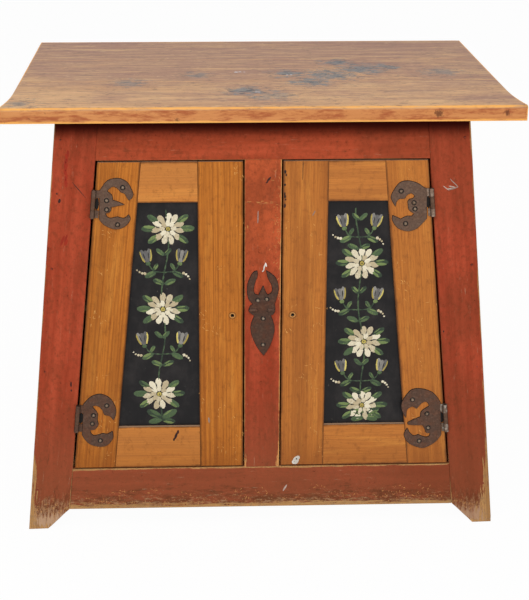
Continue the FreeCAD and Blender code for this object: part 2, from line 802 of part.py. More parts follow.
def plate_nails(name, level):
    """Reach and rise of a hinge plate's four nails, from the top down."""
    scale = f"sizes.{name}_{level}_plate"
    middle = f"sizes.{name}_{level}_rise"
    places = (
        ("upper_nail_reach", "sizes.horn_nail_spread"),
        ("lobe_reach", "sizes.lobe_spread"),
        ("lobe_reach", "-sizes.lobe_spread"),
        ("lower_nail_reach", "-sizes.horn_nail_spread"),
    )
    return [
        (f"(sizes.ring_start + sizes.{reach} * {scale})", f"({middle} + {rise} * {scale})")
        for reach, rise in places
    ]


def plate_nail_centres(name, level):
    """The same four nails as places on the front of the door."""
    return [on_hinge(name, level, reach, rise) for reach, rise in plate_nails(name, level)]


def build_door(name):
    """Two stiles and two rails, tenoned and grooved, round a sunk panel."""
    side = SIDES[name]
    edges = upright(SIGHT_INNER), sight_edge
    tenon_edges = upright(f"({SIGHT_INNER} - sizes.door_tenon)"), shifted(sight_edge, "sizes.door_tenon")
    groove = strip(side, *edges, SIGHT_BOTTOM, SIGHT_TOP, "(sizes.groove_depth + sizes.joint_clearance)")
    stiles = {
        "hinge_stile": (sight_edge, door_edge),
        "inner_stile": (upright(DOOR_INNER), upright(SIGHT_INNER)),
    }
    for part, stile_edges in stiles.items():
        stile = new_body(f"{name}_door_{part}", depth=CASE_FRONT)
        front_pad(stile, strip(side, *stile_edges, DOOR_BOTTOM, DOOR_TOP), "sizes.door_thickness")
        for _, _, low, high in DOOR_RAILS.values():
            hole = strip(side, *tenon_edges, low, high, "sizes.joint_clearance")
            front_pocket(stile, hole, DOOR_MORTISE_THICKNESS, GROOVE_FRONT)
        front_pocket(stile, groove, GROOVE_THICKNESS, GROOVE_FRONT)
        if part == "hinge_stile":
            for level in LEVELS:
                front_bores(stile, plate_nail_centres(name, level), NAIL_BORE, "sizes.plate_nail_bite")
        else:
            knob = (f"{side} * ({DOOR_INNER} + sizes.knob_inset)", "sizes.knob_height")
            front_bores(stile, [knob], "sizes.knob_bore", "sizes.door_thickness")

    horn_nails = {
        "top_rail": plate_nail_centres(name, "upper")[0],
        "bottom_rail": plate_nail_centres(name, "lower")[3],
    }
    for part, (low, high, tenon_low, tenon_high) in DOOR_RAILS.items():
        rail = new_body(f"{name}_door_{part}", depth=CASE_FRONT)
        tenon = strip(side, *tenon_edges, tenon_low, tenon_high)
        front_pad(rail, strip(side, *edges, low, high), "sizes.door_thickness")
        front_pad(rail, tenon, "sizes.tenon_thickness", "sizes.panel_sunk")
        front_pocket(rail, groove, GROOVE_THICKNESS, GROOVE_FRONT)
        front_bores(rail, [horn_nails[part]], NAIL_BORE, "sizes.plate_nail_bite", label=HORN_NAIL)

    panel = new_body(f"{name}_door_panel", depth=f"({CASE_FRONT} + sizes.panel_sunk)")
    face = strip(side, *edges, SIGHT_BOTTOM, SIGHT_TOP, "sizes.groove_depth")
    front_pad(panel, face, "sizes.panel_thickness")


# ---------------------------------------------------------------- forged ironwork

UP = FreeCAD.Vector(0, 0, 1)
BACKWARDS = FreeCAD.Vector(0, 1, 0)
ACROSS = FreeCAD.Vector(1, 0, 0)
LEAF_SEAT = f"(sizes.hinge_gap / 2 * {COS})"


def rod(radius, length, start, direction):
    """Round bar."""
    return Part.makeCylinder(radius, length, FreeCAD.Vector(*start), direction)


def block(low, high):
    """Square bar between two corners."""
    spread = FreeCAD.Vector(*high) - FreeCAD.Vector(*low)
    return Part.makeBox(spread.x, spread.y, spread.z, FreeCAD.Vector(*low))


def flat_plate(edges, thickness):
    """Flat plate from a closed outline of two-point lines and three-point arcs, (across, up)."""
    wire = []
    for points in edges:
        ends = [FreeCAD.Vector(across, 0, up) for across, up in points]
        wire.append(Part.Arc(*ends).toShape() if len(ends) == 3 else Part.makeLine(*ends))
    return Part.Face(Part.Wire(wire)).extrude(BACKWARDS * thickness)


def placed(shape, placement):
    """A copy of the shape, moved by the placement."""
    copy = shape.copy()
    copy.transformShape(placement.toMatrix(), True)
    return copy


def hinge_place(name, level):
    """Placement of a hinge: on the pin's middle, leaning with the stile's edge."""
    across, up = on_hinge(name, level, "0", "0")
    place = FreeCAD.Vector(value(across), value(PIN_FRONT), value(up))
    lean = -SIDES[name] * value(f"{TILT} / 1 deg")
    return FreeCAD.Placement(place, FreeCAD.Rotation(BACKWARDS, lean))


def handed(shape, name):
    """Hinge pieces are drawn for the left door. The right door's are their mirror image."""
    if name == "left":
        return shape
    return shape.mirror(FreeCAD.Vector(), ACROSS)


def plate_blank(scale, middle):
    """Outline of a hinge plate without its spike, nail holes and lugs, against y = 0."""
    strap = size("strap")

    def disc(reach, spread, radius, way):
        """Round patch above (1) or below (-1) the plate's middle."""
        centre = (size("ring_start") + size(reach) * scale, 0, middle + way * size(spread) * scale)
        return rod(size(radius) * scale, strap, centre, BACKWARDS)

    ring = size("ring_start") + size("horn_radius") * scale
    half_lug = size("lug_height") / 2
    hollow = size("ring_start") + size("hollow_reach") * scale
    shape = block((size("plate_start"), 0, -half_lug), (ring, strap, half_lug))
    for way in (1, -1):
        shape = shape.fuse(disc("horn_radius", "horn_spread", "horn_radius", way))
    low = middle - size("mouth_low") * scale
    high = middle + size("mouth_high") * scale
    shape = shape.cut(block((hollow, 0, low), (ring + 2 * size("horn_radius") * scale, strap, high)))
    for way in (1, -1):
        shape = shape.cut(disc("hollow_reach", "hollow_spread", "hollow_radius", way))
        shape = shape.cut(disc("bite_reach", "bite_spread", "bite_radius", way))
    for way in (1, -1):
        shape = shape.fuse(disc("lobe_reach", "lobe_spread", "lobe_radius", way))
    return shape


def plate_spike(scale, middle):
    """Pointed tongue between a plate's two lobes."""
    half = size("spike_base") * scale / 2
    root = size("ring_start") + size("lobe_reach") * scale
    tip = (size("ring_start") + size("spike_reach") * scale, middle)
    low = (root, middle - half)
    high = (root, middle + half)
    return flat_plate([(low, tip), (tip, high), (high, low)], size("strap"))


def plate_lugs():
    """The two lugs that are rolled round the pin, which runs along x = y = 0."""
    barrel = value(BARREL_RADIUS)
    strap = size("strap")
    start = size("plate_start")
    half = size("lug_height") / 2
    slot = size("knuckle_height") / 2 + size("knuckle_clearance")
    lugs = rod(barrel, 2 * half, (0, 0, -half), UP)
    lugs = lugs.fuse(block((0, barrel - strap, -half), (start + strap, barrel, half)))
    lugs = lugs.cut(rod(barrel - strap, 2 * half, (0, 0, -half), UP))
    return lugs.cut(block((-2 * barrel, -2 * barrel, -slot), (start, 2 * barrel, slot)))


def hinge_plate(name, level, spiked):
    """Two-horned plate of a door with its lugs. Two of the four have lost their spike."""
    scale = size(f"{name}_{level}_plate")
    middle = size(f"{name}_{level}_rise")
    strap = size("strap")
    shape = plate_blank(scale, middle)
    if spiked:
        shape = shape.fuse(plate_spike(scale, middle))
    for across, up in plate_nails(name, level):
        shape = shape.cut(rod(value(NAIL_BORE) / 2, strap, (value(across), 0, value(up)), BACKWARDS))
    shape.translate(BACKWARDS * (value(BARREL_RADIUS) - strap))
    return handed(shape.fuse(plate_lugs()).removeSplitter(), name)


def leaf_nail_places():
    """Depth behind the pin and height of a frame leaf's two nails."""
    depth = value(BARREL_RADIUS) + size("leaf_nail_inset")
    return [(depth, size("leaf_nail_spread")), (depth, -size("leaf_nail_spread"))]


def frame_leaf(name):
    """Middle knuckle with the leaf that lies on the stile's inner edge."""
    barrel = value(BARREL_RADIUS)
    half = size("knuckle_height") / 2
    seat = value(LEAF_SEAT)
    face = size("leaf_thickness") - seat
    shape = rod(barrel, 2 * half, (0, 0, -half), UP)
    shape = shape.fuse(block((-seat, 0, -half), (face, barrel + size("leaf_depth"), half)))
    shape = shape.cut(rod(barrel - size("strap"), 2 * half, (0, 0, -half), UP))
    for depth, up in leaf_nail_places():
        shape = shape.cut(rod(value(NAIL_BORE) / 2, size("leaf_thickness"), (-seat, depth, up), ACROSS))
    return handed(shape.removeSplitter(), name)


def leaf_nail(depth, up):
    """Flat-headed nail from a frame leaf into the stile's edge."""
    face = size("leaf_thickness") - value(LEAF_SEAT)
    reach = size("leaf_thickness") + size("leaf_nail_bite")
    head = rod(size("nail_shank"), size("leaf_nail_head"), (face, depth, up), ACROSS)
    shank = rod(size("nail_shank") / 2, reach, (face - reach, depth, up), ACROSS)
    return head.fuse(shank).removeSplitter()


def drill_leaf_nails(blank, name):
    """Bores a front stile's inner edge for the nails of its two frame leaves."""
    bores = []
    quarter = FreeCAD.Rotation(BACKWARDS, SIDES[name] * 90)
    for level in LEVELS:
        for depth, up in leaf_nail_places():
            bore = DOC.addObject("Part::Cylinder", f"{name}_stile_bore")
            bore.setExpression("Radius", f"{NAIL_BORE} / 2")
            bore.setExpression("Height", f"(sizes.leaf_nail_bite + {OVERCUT})")
            start = SIDES[name] * (value(LEAF_SEAT) - value(OVERCUT))
            place = FreeCAD.Placement(FreeCAD.Vector(start, depth, up), quarter)
            bore.Placement = hinge_place(name, level).multiply(place)
            bores.append(bore)
    drill = DOC.addObject("Part::MultiFuse", f"{name}_stile_drill")
    drill.Shapes = bores
    stile = DOC.addObject("Part::Cut", f"{name}_front_stile")
    stile.Base = blank
    stile.Tool = drill
    stile.Label = f"{name}_front_stile"
    NODES.append(stile)


def hinge_pin():
    """Pin with a peened head at each end."""
    half = size("lug_height") / 2 + size("pin_clearance")
    radius = size("pin_diameter") / 2
    pin = rod(radius, 2 * half, (0, 0, -half), UP)
    for way in (1, -1):
        foot = FreeCAD.Vector(0, 0, way * half)
        pin = pin.fuse(Part.makeCone(radius + size("pin_head_lip"), radius, size("pin_head"), foot, UP * way))
    return pin.removeSplitter()


def domed_nail(length):
    """Round-headed nail along +Y. Its head sits on y = 0."""
    radius = size("nail_head") / 2
    dome = size("nail_dome")
    ball = (radius**2 + dome**2) / 2 / dome
    head = Part.makeSphere(ball, FreeCAD.Vector(0, ball - dome, 0))
    head = head.common(rod(radius, dome, (0, -dome, 0), BACKWARDS))
    shank = rod(size("nail_shank") / 2, value(length), (0, 0, 0), BACKWARDS)
    return head.fuse(shank).removeSplitter()


def nail_group(label, nail, places, turn=None):
    """Equal nails at several places, all driven the same way, as one kind of hardware."""
    turn = turn or FreeCAD.Rotation()
    spots = [FreeCAD.Vector(*[value(part) for part in place]) for place in places]
    shapes = [placed(nail, FreeCAD.Placement(spot, turn)) for spot in spots]
    new_feature(label, Part.makeCompound(shapes))


def build_hinges(name):
    """Plates, leaves, pins and nails of one door's two hinges."""
    pins = []
    leaf_nails = []
    centres = []
    for level in LEVELS:
        place = hinge_place(name, level)
        spiked = (name, level) in (("left", "upper"), ("right", "lower"))
        new_feature(f"{name}_{level}_hinge_plate", hinge_plate(name, level, spiked), place)
        new_feature(f"{name}_{level}_frame_leaf", frame_leaf(name), place)
        pins.append(placed(hinge_pin(), place))
        leaf_nails += [placed(handed(leaf_nail(*spot), name), place) for spot in leaf_nail_places()]
        centres += plate_nail_centres(name, level)
    new_feature(f"{name}_hinge_pins", Part.makeCompound(pins))
    new_feature(f"{name}_leaf_nails", Part.makeCompound(leaf_nails))
    front = f"({CASE_FRONT} - sizes.strap)"
    nail = domed_nail("sizes.plate_nail_bite + sizes.strap")
    nail_group(f"{name}_door_nails", nail, [(across, front, up) for across, up in centres])


# ---------------------------------------------------------------- forged plate on the centre stile

LEAN = "(sizes.ornament_lean * 1 deg)"


def ornament_nail_places():
    """The plate's four nails, across and up from its middle."""
    return [
        ("-sizes.brow_nail_across", "sizes.brow_nail_up"),
        ("sizes.brow_nail_across", "sizes.brow_nail_up"),
        ("0", "sizes.middle_nail_up"),
        ("0", "-sizes.tip_nail_down"),
    ]


def ornament_nail_centres():
    """The same nails as places on the front. The plate leans to the left."""
    centres = []
    for across, up in ornament_nail_places():
        x = f"({across} * cos({LEAN}) - {up} * sin({LEAN}))"
        z = f"(sizes.ornament_height + {across} * sin({LEAN}) + {up} * cos({LEAN}))"
        centres.append((x, z))
    return centres


def ornament_outline():
    """Right half of the plate from the spike down to the leaf's point, then the left half back up."""
    spike = (0.0, size("spike_up"))
    notch = (size("notch_across"), size("notch_up"))
    hollow = (size("hollow_across"), size("notch_up"))
    horn_inside = (size("hollow_bulge"), size("horn_bulge_up"))
    horn_inner = (size("horn_inner_across"), size("horn_inner_up"))
    horn_tip = (size("horn_tip_across"), size("horn_tip_up"))
    horn_outside = (size("horn_bulge"), size("horn_bulge_up"))
    shoulder = (size("shoulder_across"), size("shoulder_up"))
    ear_high = (size("ear_across"), size("ear_high"))
    ear = (size("ear_bulge"), size("ear_bulge_up"))
    ear_low = (size("ear_across"), size("ear_low"))
    neck = (size("neck_across"), size("neck_up"))
    leaf = (size("leaf_bulge"), -size("leaf_bulge_down"))
    point = (0.0, -size("leaf_down"))
    right = [
        (spike, notch),
        (notch, hollow),
        (hollow, horn_inside, horn_inner),
        (horn_inner, horn_tip),
        (horn_tip, horn_outside, shoulder),
        (shoulder, ear_high),
        (ear_high, ear, ear_low),
        (ear_low, neck),
        (neck, leaf, point),
    ]
    left = [tuple((-across, up) for across, up in reversed(side)) for side in reversed(right)]
    return right + left


def build_ornament():
    """Horned plate with a pointed leaf below, nailed to the front of the centre stile."""
    thick = size("ornament_thickness")
    shape = flat_plate(ornament_outline(), thick)
    for across, up in ornament_nail_places():
        shape = shape.cut(rod(value(NAIL_BORE) / 2, thick, (value(across), 0, value(up)), BACKWARDS))
    place = FreeCAD.Vector(0, value(CASE_FRONT) - thick, size("ornament_height"))
    lean = FreeCAD.Rotation(BACKWARDS, -size("ornament_lean"))
    new_feature("ornament_plate", shape, FreeCAD.Placement(place, lean))
    front = f"({CASE_FRONT} - sizes.ornament_thickness)"
    nail = domed_nail("sizes.plate_nail_bite + sizes.ornament_thickness")
    nail_group("ornament_nails", nail, [(across, front, up) for across, up in ornament_nail_centres()])


# ---------------------------------------------------------------- the case's nails


def build_case_nails():
    """Brads of the face frame, and the nails of the back, the floor and the battens."""
    both = SIDES.values()
    reach = value("sizes.frame_thickness + sizes.brad_bite")
    brad = rod(size("brad_diameter") / 2, reach, (0, 0, 0), BACKWARDS)
    nail_group("frame_brads", brad, [(x, CASE_FRONT, z) for side in both for x, z in brad_centres(side)])

    nail = domed_nail("sizes.back_thickness + sizes.back_nail_bite")
    centres = [spot for side in both for spot in back_side_centres(side) + back_floor_centres(side)]
    forwards = FreeCAD.Rotation(UP, 180)
    nail_group("back_nails", nail, [(x, CASE_BACK, z) for x, z in centres], forwards)

    nail = domed_nail("sizes.floor_thickness + sizes.floor_nail_bite")
    depths = FLOOR_NAILS["front"] + FLOOR_NAILS["back"]
    places = [(f"{side} * {FLOOR_NAIL_ACROSS}", depth, FLOOR_TOP) for side in both for depth in depths]
    nail_group("floor_nails", nail, places, FreeCAD.Rotation(ACROSS, -90))

    nail = domed_nail("sizes.batten_size + sizes.batten_nail_bite")
    depths = BATTEN_NAILS.values()
    places = [(f"{side} * {BATTEN_NAIL_ACROSS}", depth, BATTEN_LOW) for side in both for depth in depths]
    nail_group("batten_nails", nail, places, FreeCAD.Rotation(ACROSS, 90))


def build_cleat_nails():
    """Level nails from the cleats and battens into the side boards. Their heads meet a leaning face."""
    head_gap = f"(sizes.nail_head / 2 * {SPLAY})"
    for name, side in SIDES.items():
        nails = []
        outwards = FreeCAD.Rotation(UP, -90 * side)
        for part, height in CLEAT_HEIGHTS.items():
            stand = f"({BARS[part][2]} + {head_gap})"
            nail = domed_nail(f"{stand} + sizes.cleat_nail_bite")
            across = value(f"{side} * ({side_inside(height)} - {stand})")
            for depth in CLEAT_DEPTHS[part].values():
                spot = FreeCAD.Vector(across, value(depth), value(height))
                nails.append(placed(nail, FreeCAD.Placement(spot, outwards)))
        new_feature(f"{name}_cleat_nails", Part.makeCompound(nails))


# ---------------------------------------------------------------- build, check and write


LEAST_CUT = 1.0  # cubic millimetres


def check_document():
    """Stops on an object that did not compute, a pocket that cut nothing, or a bad shape."""
    for item in DOC.Objects:
        if "Invalid" in item.State or "Error" in item.State:
            raise RuntimeError(f"{item.Label} did not compute: {item.State}")
        if item.TypeId != "PartDesign::Pocket" or item.Name.startswith(HORN_NAIL):
            continue
        if item.BaseFeature.Shape.Volume - item.Shape.Volume < LEAST_CUT:
            raise RuntimeError(f"{item.Label} of {item.getParentGeoFeatureGroup().Label} cuts nothing")
    for node in NODES:
        if node.Shape.isNull() or not node.Shape.isValid():
            raise RuntimeError(f"{node.Label} has no valid shape")


build_top()
build_face_frame()
build_sides()
build_back()
build_floor()
build_shelf()
build_bars()
for door in SIDES:
    build_door(door)
    build_hinges(door)
build_ornament()
build_case_nails()
build_cleat_nails()
DOC.recompute()
check_document()

os.makedirs("parts", exist_ok=True)
for node in NODES:
    node.Shape.exportStep(os.path.join("parts", f"{node.Label}.step"))
print(f"{len(NODES)} pieces written")
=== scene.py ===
import json
import logging
import math
import random
from dataclasses import dataclass
from enum import Enum
from typing import Any, Callable, Iterable, Sequence

import bmesh
import bpy
from mathutils import Matrix, Vector, noise


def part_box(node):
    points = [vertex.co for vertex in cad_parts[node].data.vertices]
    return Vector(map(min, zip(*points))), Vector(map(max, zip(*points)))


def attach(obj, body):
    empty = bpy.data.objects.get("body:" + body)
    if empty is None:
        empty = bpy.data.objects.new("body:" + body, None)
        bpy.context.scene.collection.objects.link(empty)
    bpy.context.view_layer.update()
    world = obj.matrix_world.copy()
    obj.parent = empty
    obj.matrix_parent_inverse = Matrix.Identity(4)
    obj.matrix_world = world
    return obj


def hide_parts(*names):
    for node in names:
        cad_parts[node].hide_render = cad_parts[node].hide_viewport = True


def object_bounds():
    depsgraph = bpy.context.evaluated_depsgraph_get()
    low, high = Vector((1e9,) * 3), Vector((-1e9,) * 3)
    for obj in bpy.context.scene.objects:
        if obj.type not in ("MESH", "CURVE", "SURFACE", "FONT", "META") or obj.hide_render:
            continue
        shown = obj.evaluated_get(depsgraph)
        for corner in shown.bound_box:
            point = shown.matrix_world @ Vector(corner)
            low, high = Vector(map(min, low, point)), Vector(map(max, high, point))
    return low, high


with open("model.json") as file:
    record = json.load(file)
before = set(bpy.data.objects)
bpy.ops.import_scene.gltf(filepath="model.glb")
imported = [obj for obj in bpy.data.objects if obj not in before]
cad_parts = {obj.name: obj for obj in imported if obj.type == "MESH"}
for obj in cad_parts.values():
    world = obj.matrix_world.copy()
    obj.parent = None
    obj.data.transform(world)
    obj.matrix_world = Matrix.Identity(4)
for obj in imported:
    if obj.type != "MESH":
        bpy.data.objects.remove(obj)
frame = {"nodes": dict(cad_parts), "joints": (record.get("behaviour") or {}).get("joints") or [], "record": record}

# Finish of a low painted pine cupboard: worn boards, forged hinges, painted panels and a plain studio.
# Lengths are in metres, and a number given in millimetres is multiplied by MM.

CAD_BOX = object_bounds()
MM = 0.001
MATH, VECTOR_MATH, MAP_RANGE = "ShaderNodeMath", "ShaderNodeVectorMath", "ShaderNodeMapRange"
LOG = logging.getLogger("cupboard")
Point = tuple[float, float]
Placer = Callable[[float, float, float], Vector]
Tree = bpy.types.NodeTree

# The hinge axis of the left door gives the splay of the case: how far a side leans in per unit of height.
HINGE = frame["joints"][0]
SPLAY = abs(HINGE["axis"][0] / HINGE["axis"][2])
TILT = math.atan(SPLAY)
DOOR_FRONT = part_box("left_door_inner_stile")[0].y
BODY_OF = {node: body for body, nodes in frame["record"]["behaviour"]["bodies"].items() for node in nodes}


# ---------------------------------------------------------------- small tools


def linear(code: str) -> tuple[float, float, float, float]:
    """Turns an sRGB hex colour into linear RGBA.

    Args:
        code: Six hex digits, with a leading #.

    Returns:
        The four linear channels.
    """
    parts = [int(code[i:i + 2], 16) / 255 for i in (1, 3, 5)]
    red, green, blue = (p / 12.92 if p <= 0.04045 else ((p + 0.055) / 1.055) ** 2.4 for p in parts)
    return red, green, blue, 1.0


def add(tree: Tree, kind: str, inputs: dict[int | str, Any] | None = None, **settings: Any) -> Any:
    """Adds a node with its settings, input values and links.

    Args:
        tree: The shader or geometry tree.
        kind: The node's type.
        inputs: For each enabled input, by place or name, a value or a socket to link.
        settings: Properties of the node itself.

    Returns:
        The node's first enabled output, or the node when it has none.
    """
    node = tree.nodes.new(kind)
    for name, value in settings.items():
        setattr(node, name, value)
    sockets = [s for s in node.inputs if s.enabled]
    for key, value in (inputs or {}).items():
        socket = sockets[key] if isinstance(key, int) else next(s for s in sockets if s.name == key)
        if isinstance(value, bpy.types.NodeSocket):
            tree.links.new(value, socket)
        else:
            socket.default_value = value
    return next((s for s in node.outputs if s.enabled), node)


def show(name: str, data: Any) -> bpy.types.Object:
    """Puts a new object in the scene.

    Args:
        name: The object's name.
        data: Its mesh, light or camera.

    Returns:
        The object.
    """
    made = bpy.data.objects.new(name, data)
    bpy.context.scene.collection.objects.link(made)
    return made


def publish(
    name: str, mesh: bpy.types.Mesh, body: str, slot: str, replaced: Sequence[str] = ()
) -> bpy.types.Object:
    """Shows a finished mesh as a piece that rides on a body.

    Args:
        name: The piece's name.
        mesh: Its mesh, in place in the frame.
        body: The body that carries it.
        slot: The record's material slot. Not used.
        replaced: Nodes that the piece stands for.

    Returns:
        The new object.
    """
    piece = show(name, mesh)
    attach(piece, body)
    if replaced:
        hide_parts(*replaced)
    return piece


def finish_mesh(bm: bmesh.types.BMesh, name: str, material: bpy.types.Material) -> bpy.types.Mesh:
    """Writes a bmesh to a new mesh with one material and frees it.

    Args:
        bm: The finished shape.
        name: The mesh's name.
        material: Its only material.

    Returns:
        The mesh.
    """
    mesh = bpy.data.meshes.new(name)
    bm.to_mesh(mesh)
    bm.free()
    mesh.materials.append(material)
    return mesh


def slice_across(bm: bmesh.types.BMesh, normal: Vector, low: float, high: float, step: float) -> None:
    """Cuts every face along evenly spaced planes, so that the shape can be bent between them.

    Args:
        bm: The shape.
        normal: The planes' normal.
        low: Distance of the shape's near end along the normal.
        high: Distance of its far end.
        step: Spacing of the planes.
    """
    count = max(1, round((high - low) / step))
    for index in range(1, count):
        place = normal * (low + (high - low) * index / count)
        geometry = bm.verts[:] + bm.edges[:] + bm.faces[:]
        bmesh.ops.bisect_plane(bm, geom=geometry, dist=1e-6, plane_co=place, plane_no=normal)


def stroke(points: Sequence[Point], steps: int = 5) -> list[Vector]:
    """Draws a smooth open line through a few points.

    Args:
        points: The points, the ends included.
        steps: Pieces between two points.

    Returns:
        The line's points, without the last one.
    """
    ends = [Vector(p) for p in points]
    guides = [2 * ends[0] - ends[1], *ends, 2 * ends[-1] - ends[-2]]
    line = []
    for before, start, end, after in zip(guides, guides[1:], guides[2:], guides[3:]):
        for index in range(steps):
            part = index / steps
            bend = 2 * start + (end - before) * part + (2 * before - 5 * start + 4 * end - after) * part ** 2
            line.append((bend + (3 * start - before - 3 * end + after) * part ** 3) / 2)
    return line


def outline(strokes: Sequence[Sequence[Point]], grow: float = 0.0) -> list[Vector]:
    """Joins strokes that meet at sharp points into one closed outline.

    Args:
        strokes: The strokes, drawn clockwise. Each but the first starts where the one before it ends.
        grow: How far the outline is pushed outwards.

    Returns:
        The outline's points.
    """
    line, last = [], []
    for points in strokes:
        line += stroke([*last, *points])
        last = points[-1:]
    turn = sum(a.cross(b) for a, b in zip(line, line[1:] + line[:1]))
    pushed = []
    for before, point, after in zip(line[-1:] + line[:-1], line, line[1:] + line[:1]):
        ahead = (after - before).normalized()
        out = Vector((ahead.y, -ahead.x)) if turn > 0 else Vector((-ahead.y, ahead.x))
        pushed.append(point + out * grow)
    return pushed


# ---------------------------------------------------------------- finishes


@dataclass(frozen=True)
class Finish:
    """What every finish has: its material's name, the record's slot, and a Principled shader to fill."""

    name: str
    slot: str

    def start(self) -> tuple[Tree, bpy.types.Node, Any]:
        """Makes an empty material.

        Returns:
            Its tree, its Principled shader and the socket of the place in the frame.
        """
        material = bpy.data.materials.new(self.name)
        material.use_nodes = True
        tree = material.node_tree
        tree.nodes.clear()
        shader = add(tree, "ShaderNodeBsdfPrincipled").node
        add(tree, "ShaderNodeOutputMaterial", {"Surface": shader.outputs[0]})
        return tree, shader, add(tree, "ShaderNodeTexCoord").node.outputs["Object"]

    def fill(
        self, shader: bpy.types.Node, colour: Any, height: Any, bump: Point, rough: float, gloss: float
    ) -> None:
        """Fills the shader.

        Args:
            shader: The Principled shader.
            colour: Socket of its colour.
            height: Socket of the height that its bump follows.
            bump: Strength and depth of the bump, the depth in millimetres.
            rough: Its roughness.
            gloss: Its specular level.
        """
        tree = shader.id_data
        tree.links.new(colour, shader.inputs["Base Color"])
        inputs = {"Height": height, "Strength": bump[0], "Distance": bump[1] * MM}
        tree.links.new(add(tree, "ShaderNodeBump", inputs), shader.inputs["Normal"])
        shader.inputs["Roughness"].default_value = rough
        shader.inputs["Specular IOR Level"].default_value = gloss

    def material(self) -> bpy.types.Material:
        """Builds the finish's material once.

        Returns:
            The material.
        """
        if self.name not in bpy.data.materials:
            self.build()
        return bpy.data.materials[self.name]

    def build(self) -> None:
        """Builds the material's nodes."""
        raise NotImplementedError


def spread(tree: Tree, vector: Any, scale: Sequence[float], detail: float = 3, rough: float = 0.5) -> Any:
    """Lays a noise over a surface, stretched along its axes.

    Args:
        tree: The shader tree.
        vector: Coordinates in metres.
        scale: Cells per metre along each axis, so that 100 gives a pattern 10 mm wide.
        detail: Octaves of finer noise.
        rough: Strength of the finer octaves.

    Returns:
        The noise's factor socket, centred on a half.
    """
    placed = add(tree, "ShaderNodeMapping", {"Vector": vector, "Scale": tuple(scale)}, vector_type="POINT")
    inputs = {"Vector": placed, "Scale": 1, "Detail": detail, "Roughness": rough}
    return add(tree, "ShaderNodeTexNoise", inputs)


def lay(tree: Tree, under: Any, over: Any, field: Any, low: float, high: float, top: float = 1.0) -> Any:
    """Lays one colour over another where a field is high, as a coat that comes and goes.

    Args:
        tree: The shader tree.
        under: The colour below, a socket or a hex code.
        over: The colour above, a socket or a hex code.
        field: The socket that says where the coat lies.
        low: Field at which there is none of it. Above high, the coat lies where the field is low.
        high: Field from which on the coat has its full share.
        top: The full share.

    Returns:
        The resulting colour's socket.
    """
    inputs = {0: field, 1: low, 2: high, 3: 0.0, 4: top}
    share = add(tree, MAP_RANGE, inputs, interpolation_type="SMOOTHSTEP")
    under, over = (linear(c) if isinstance(c, str) else c for c in (under, over))
    return add(tree, "ShaderNodeMix", {0: share, 1: under, 2: over}, data_type="RGBA")


@dataclass(frozen=True)
class Coat:
    """A thin coat, stain or streak that shows where a stretched noise is high.

    Its scale is in cells per metre along each axis, so that 100 gives a pattern 10 mm wide. It shows from
    a noise of low on, and has its full share from one of high on.
    """

    colour: str
    scale: tuple[float, float, float]
    detail: float
    rough: float
    low: float
    high: float
    share: float = 1.0

    def over(self, tree: Tree, under: Any, vector: Any, more: Any = None) -> Any:
        """Lays the coat over a colour.

        Args:
            tree: The shader tree.
            under: The colour below, a socket or a hex code.
            vector: Coordinates in metres.
            more: A socket that is added to the noise, or none.

        Returns:
            The resulting colour's socket.
        """
        field = spread(tree, vector, self.scale, self.detail, self.rough)
        if more is not None:
            field = add(tree, MATH, {0: field, 1: more}, operation="ADD")
        return lay(tree, under, self.colour, field, self.low, self.high, self.share)


def nearest(tree: Tree, place: Any, spots: Sequence[Sequence[float]]) -> Any:
    """Measures the way to the nearest of some spots, each in its own radius.

    Args:
        tree: The shader tree.
        place: Place in the frame.
        spots: Each spot's x, y, z and radius in millimetres.

    Returns:
        The socket: 0 at a spot's middle, 1 at its rim.
    """
    least = None
    for x, y, z, radius in spots:
        middle = (x * MM, y * MM, z * MM)
        away = add(tree, VECTOR_MATH, {0: place, 1: middle}, operation="DISTANCE")
        away = away.node.outputs["Value"]
        away = add(tree, MATH, {0: away, 1: radius * MM}, operation="DIVIDE")
        least = add(tree, MATH, {0: least, 1: away}, operation="MINIMUM") if least else away
    return least


def arris_strip(tree: Tree, ragged: Any, reach: Any) -> Any:
    """Finds a strip with a ragged rim along a board's arrises.

    The boards carry their distances to both sides of each axis. On a face the nearest side is the face
    itself, so the middle one of the three axes' distances is the way to the arris.

    Args:
        tree: The shader tree.
        ragged: One factor of the strip's width, a socket.
        reach: The other, a number or a socket. Their product is the width in metres.

    Returns:
        The socket that says how far inside the strip a place lies.
    """
    fields = [add(tree, "ShaderNodeAttribute", attribute_name=name).node for name in ("near", "far")]
    sides = [field.outputs["Vector"] for field in fields]
    least = add(tree, VECTOR_MATH, dict(enumerate(sides)), operation="MINIMUM")
    along, across, deep = add(tree, "ShaderNodeSeparateXYZ", {0: least}).node.outputs
    small = add(tree, MATH, {0: along, 1: across}, operation="MINIMUM")
    large = add(tree, MATH, {0: along, 1: across}, operation="MAXIMUM")
    middle = add(tree, MATH, {0: large, 1: deep}, operation="MINIMUM")
    away = add(tree, MATH, {0: small, 1: middle}, operation="MAXIMUM")
    wide = add(tree, MATH, {0: ragged, 1: reach}, operation="MULTIPLY")
    return add(tree, MATH, {0: wide, 1: away}, operation="SUBTRACT")


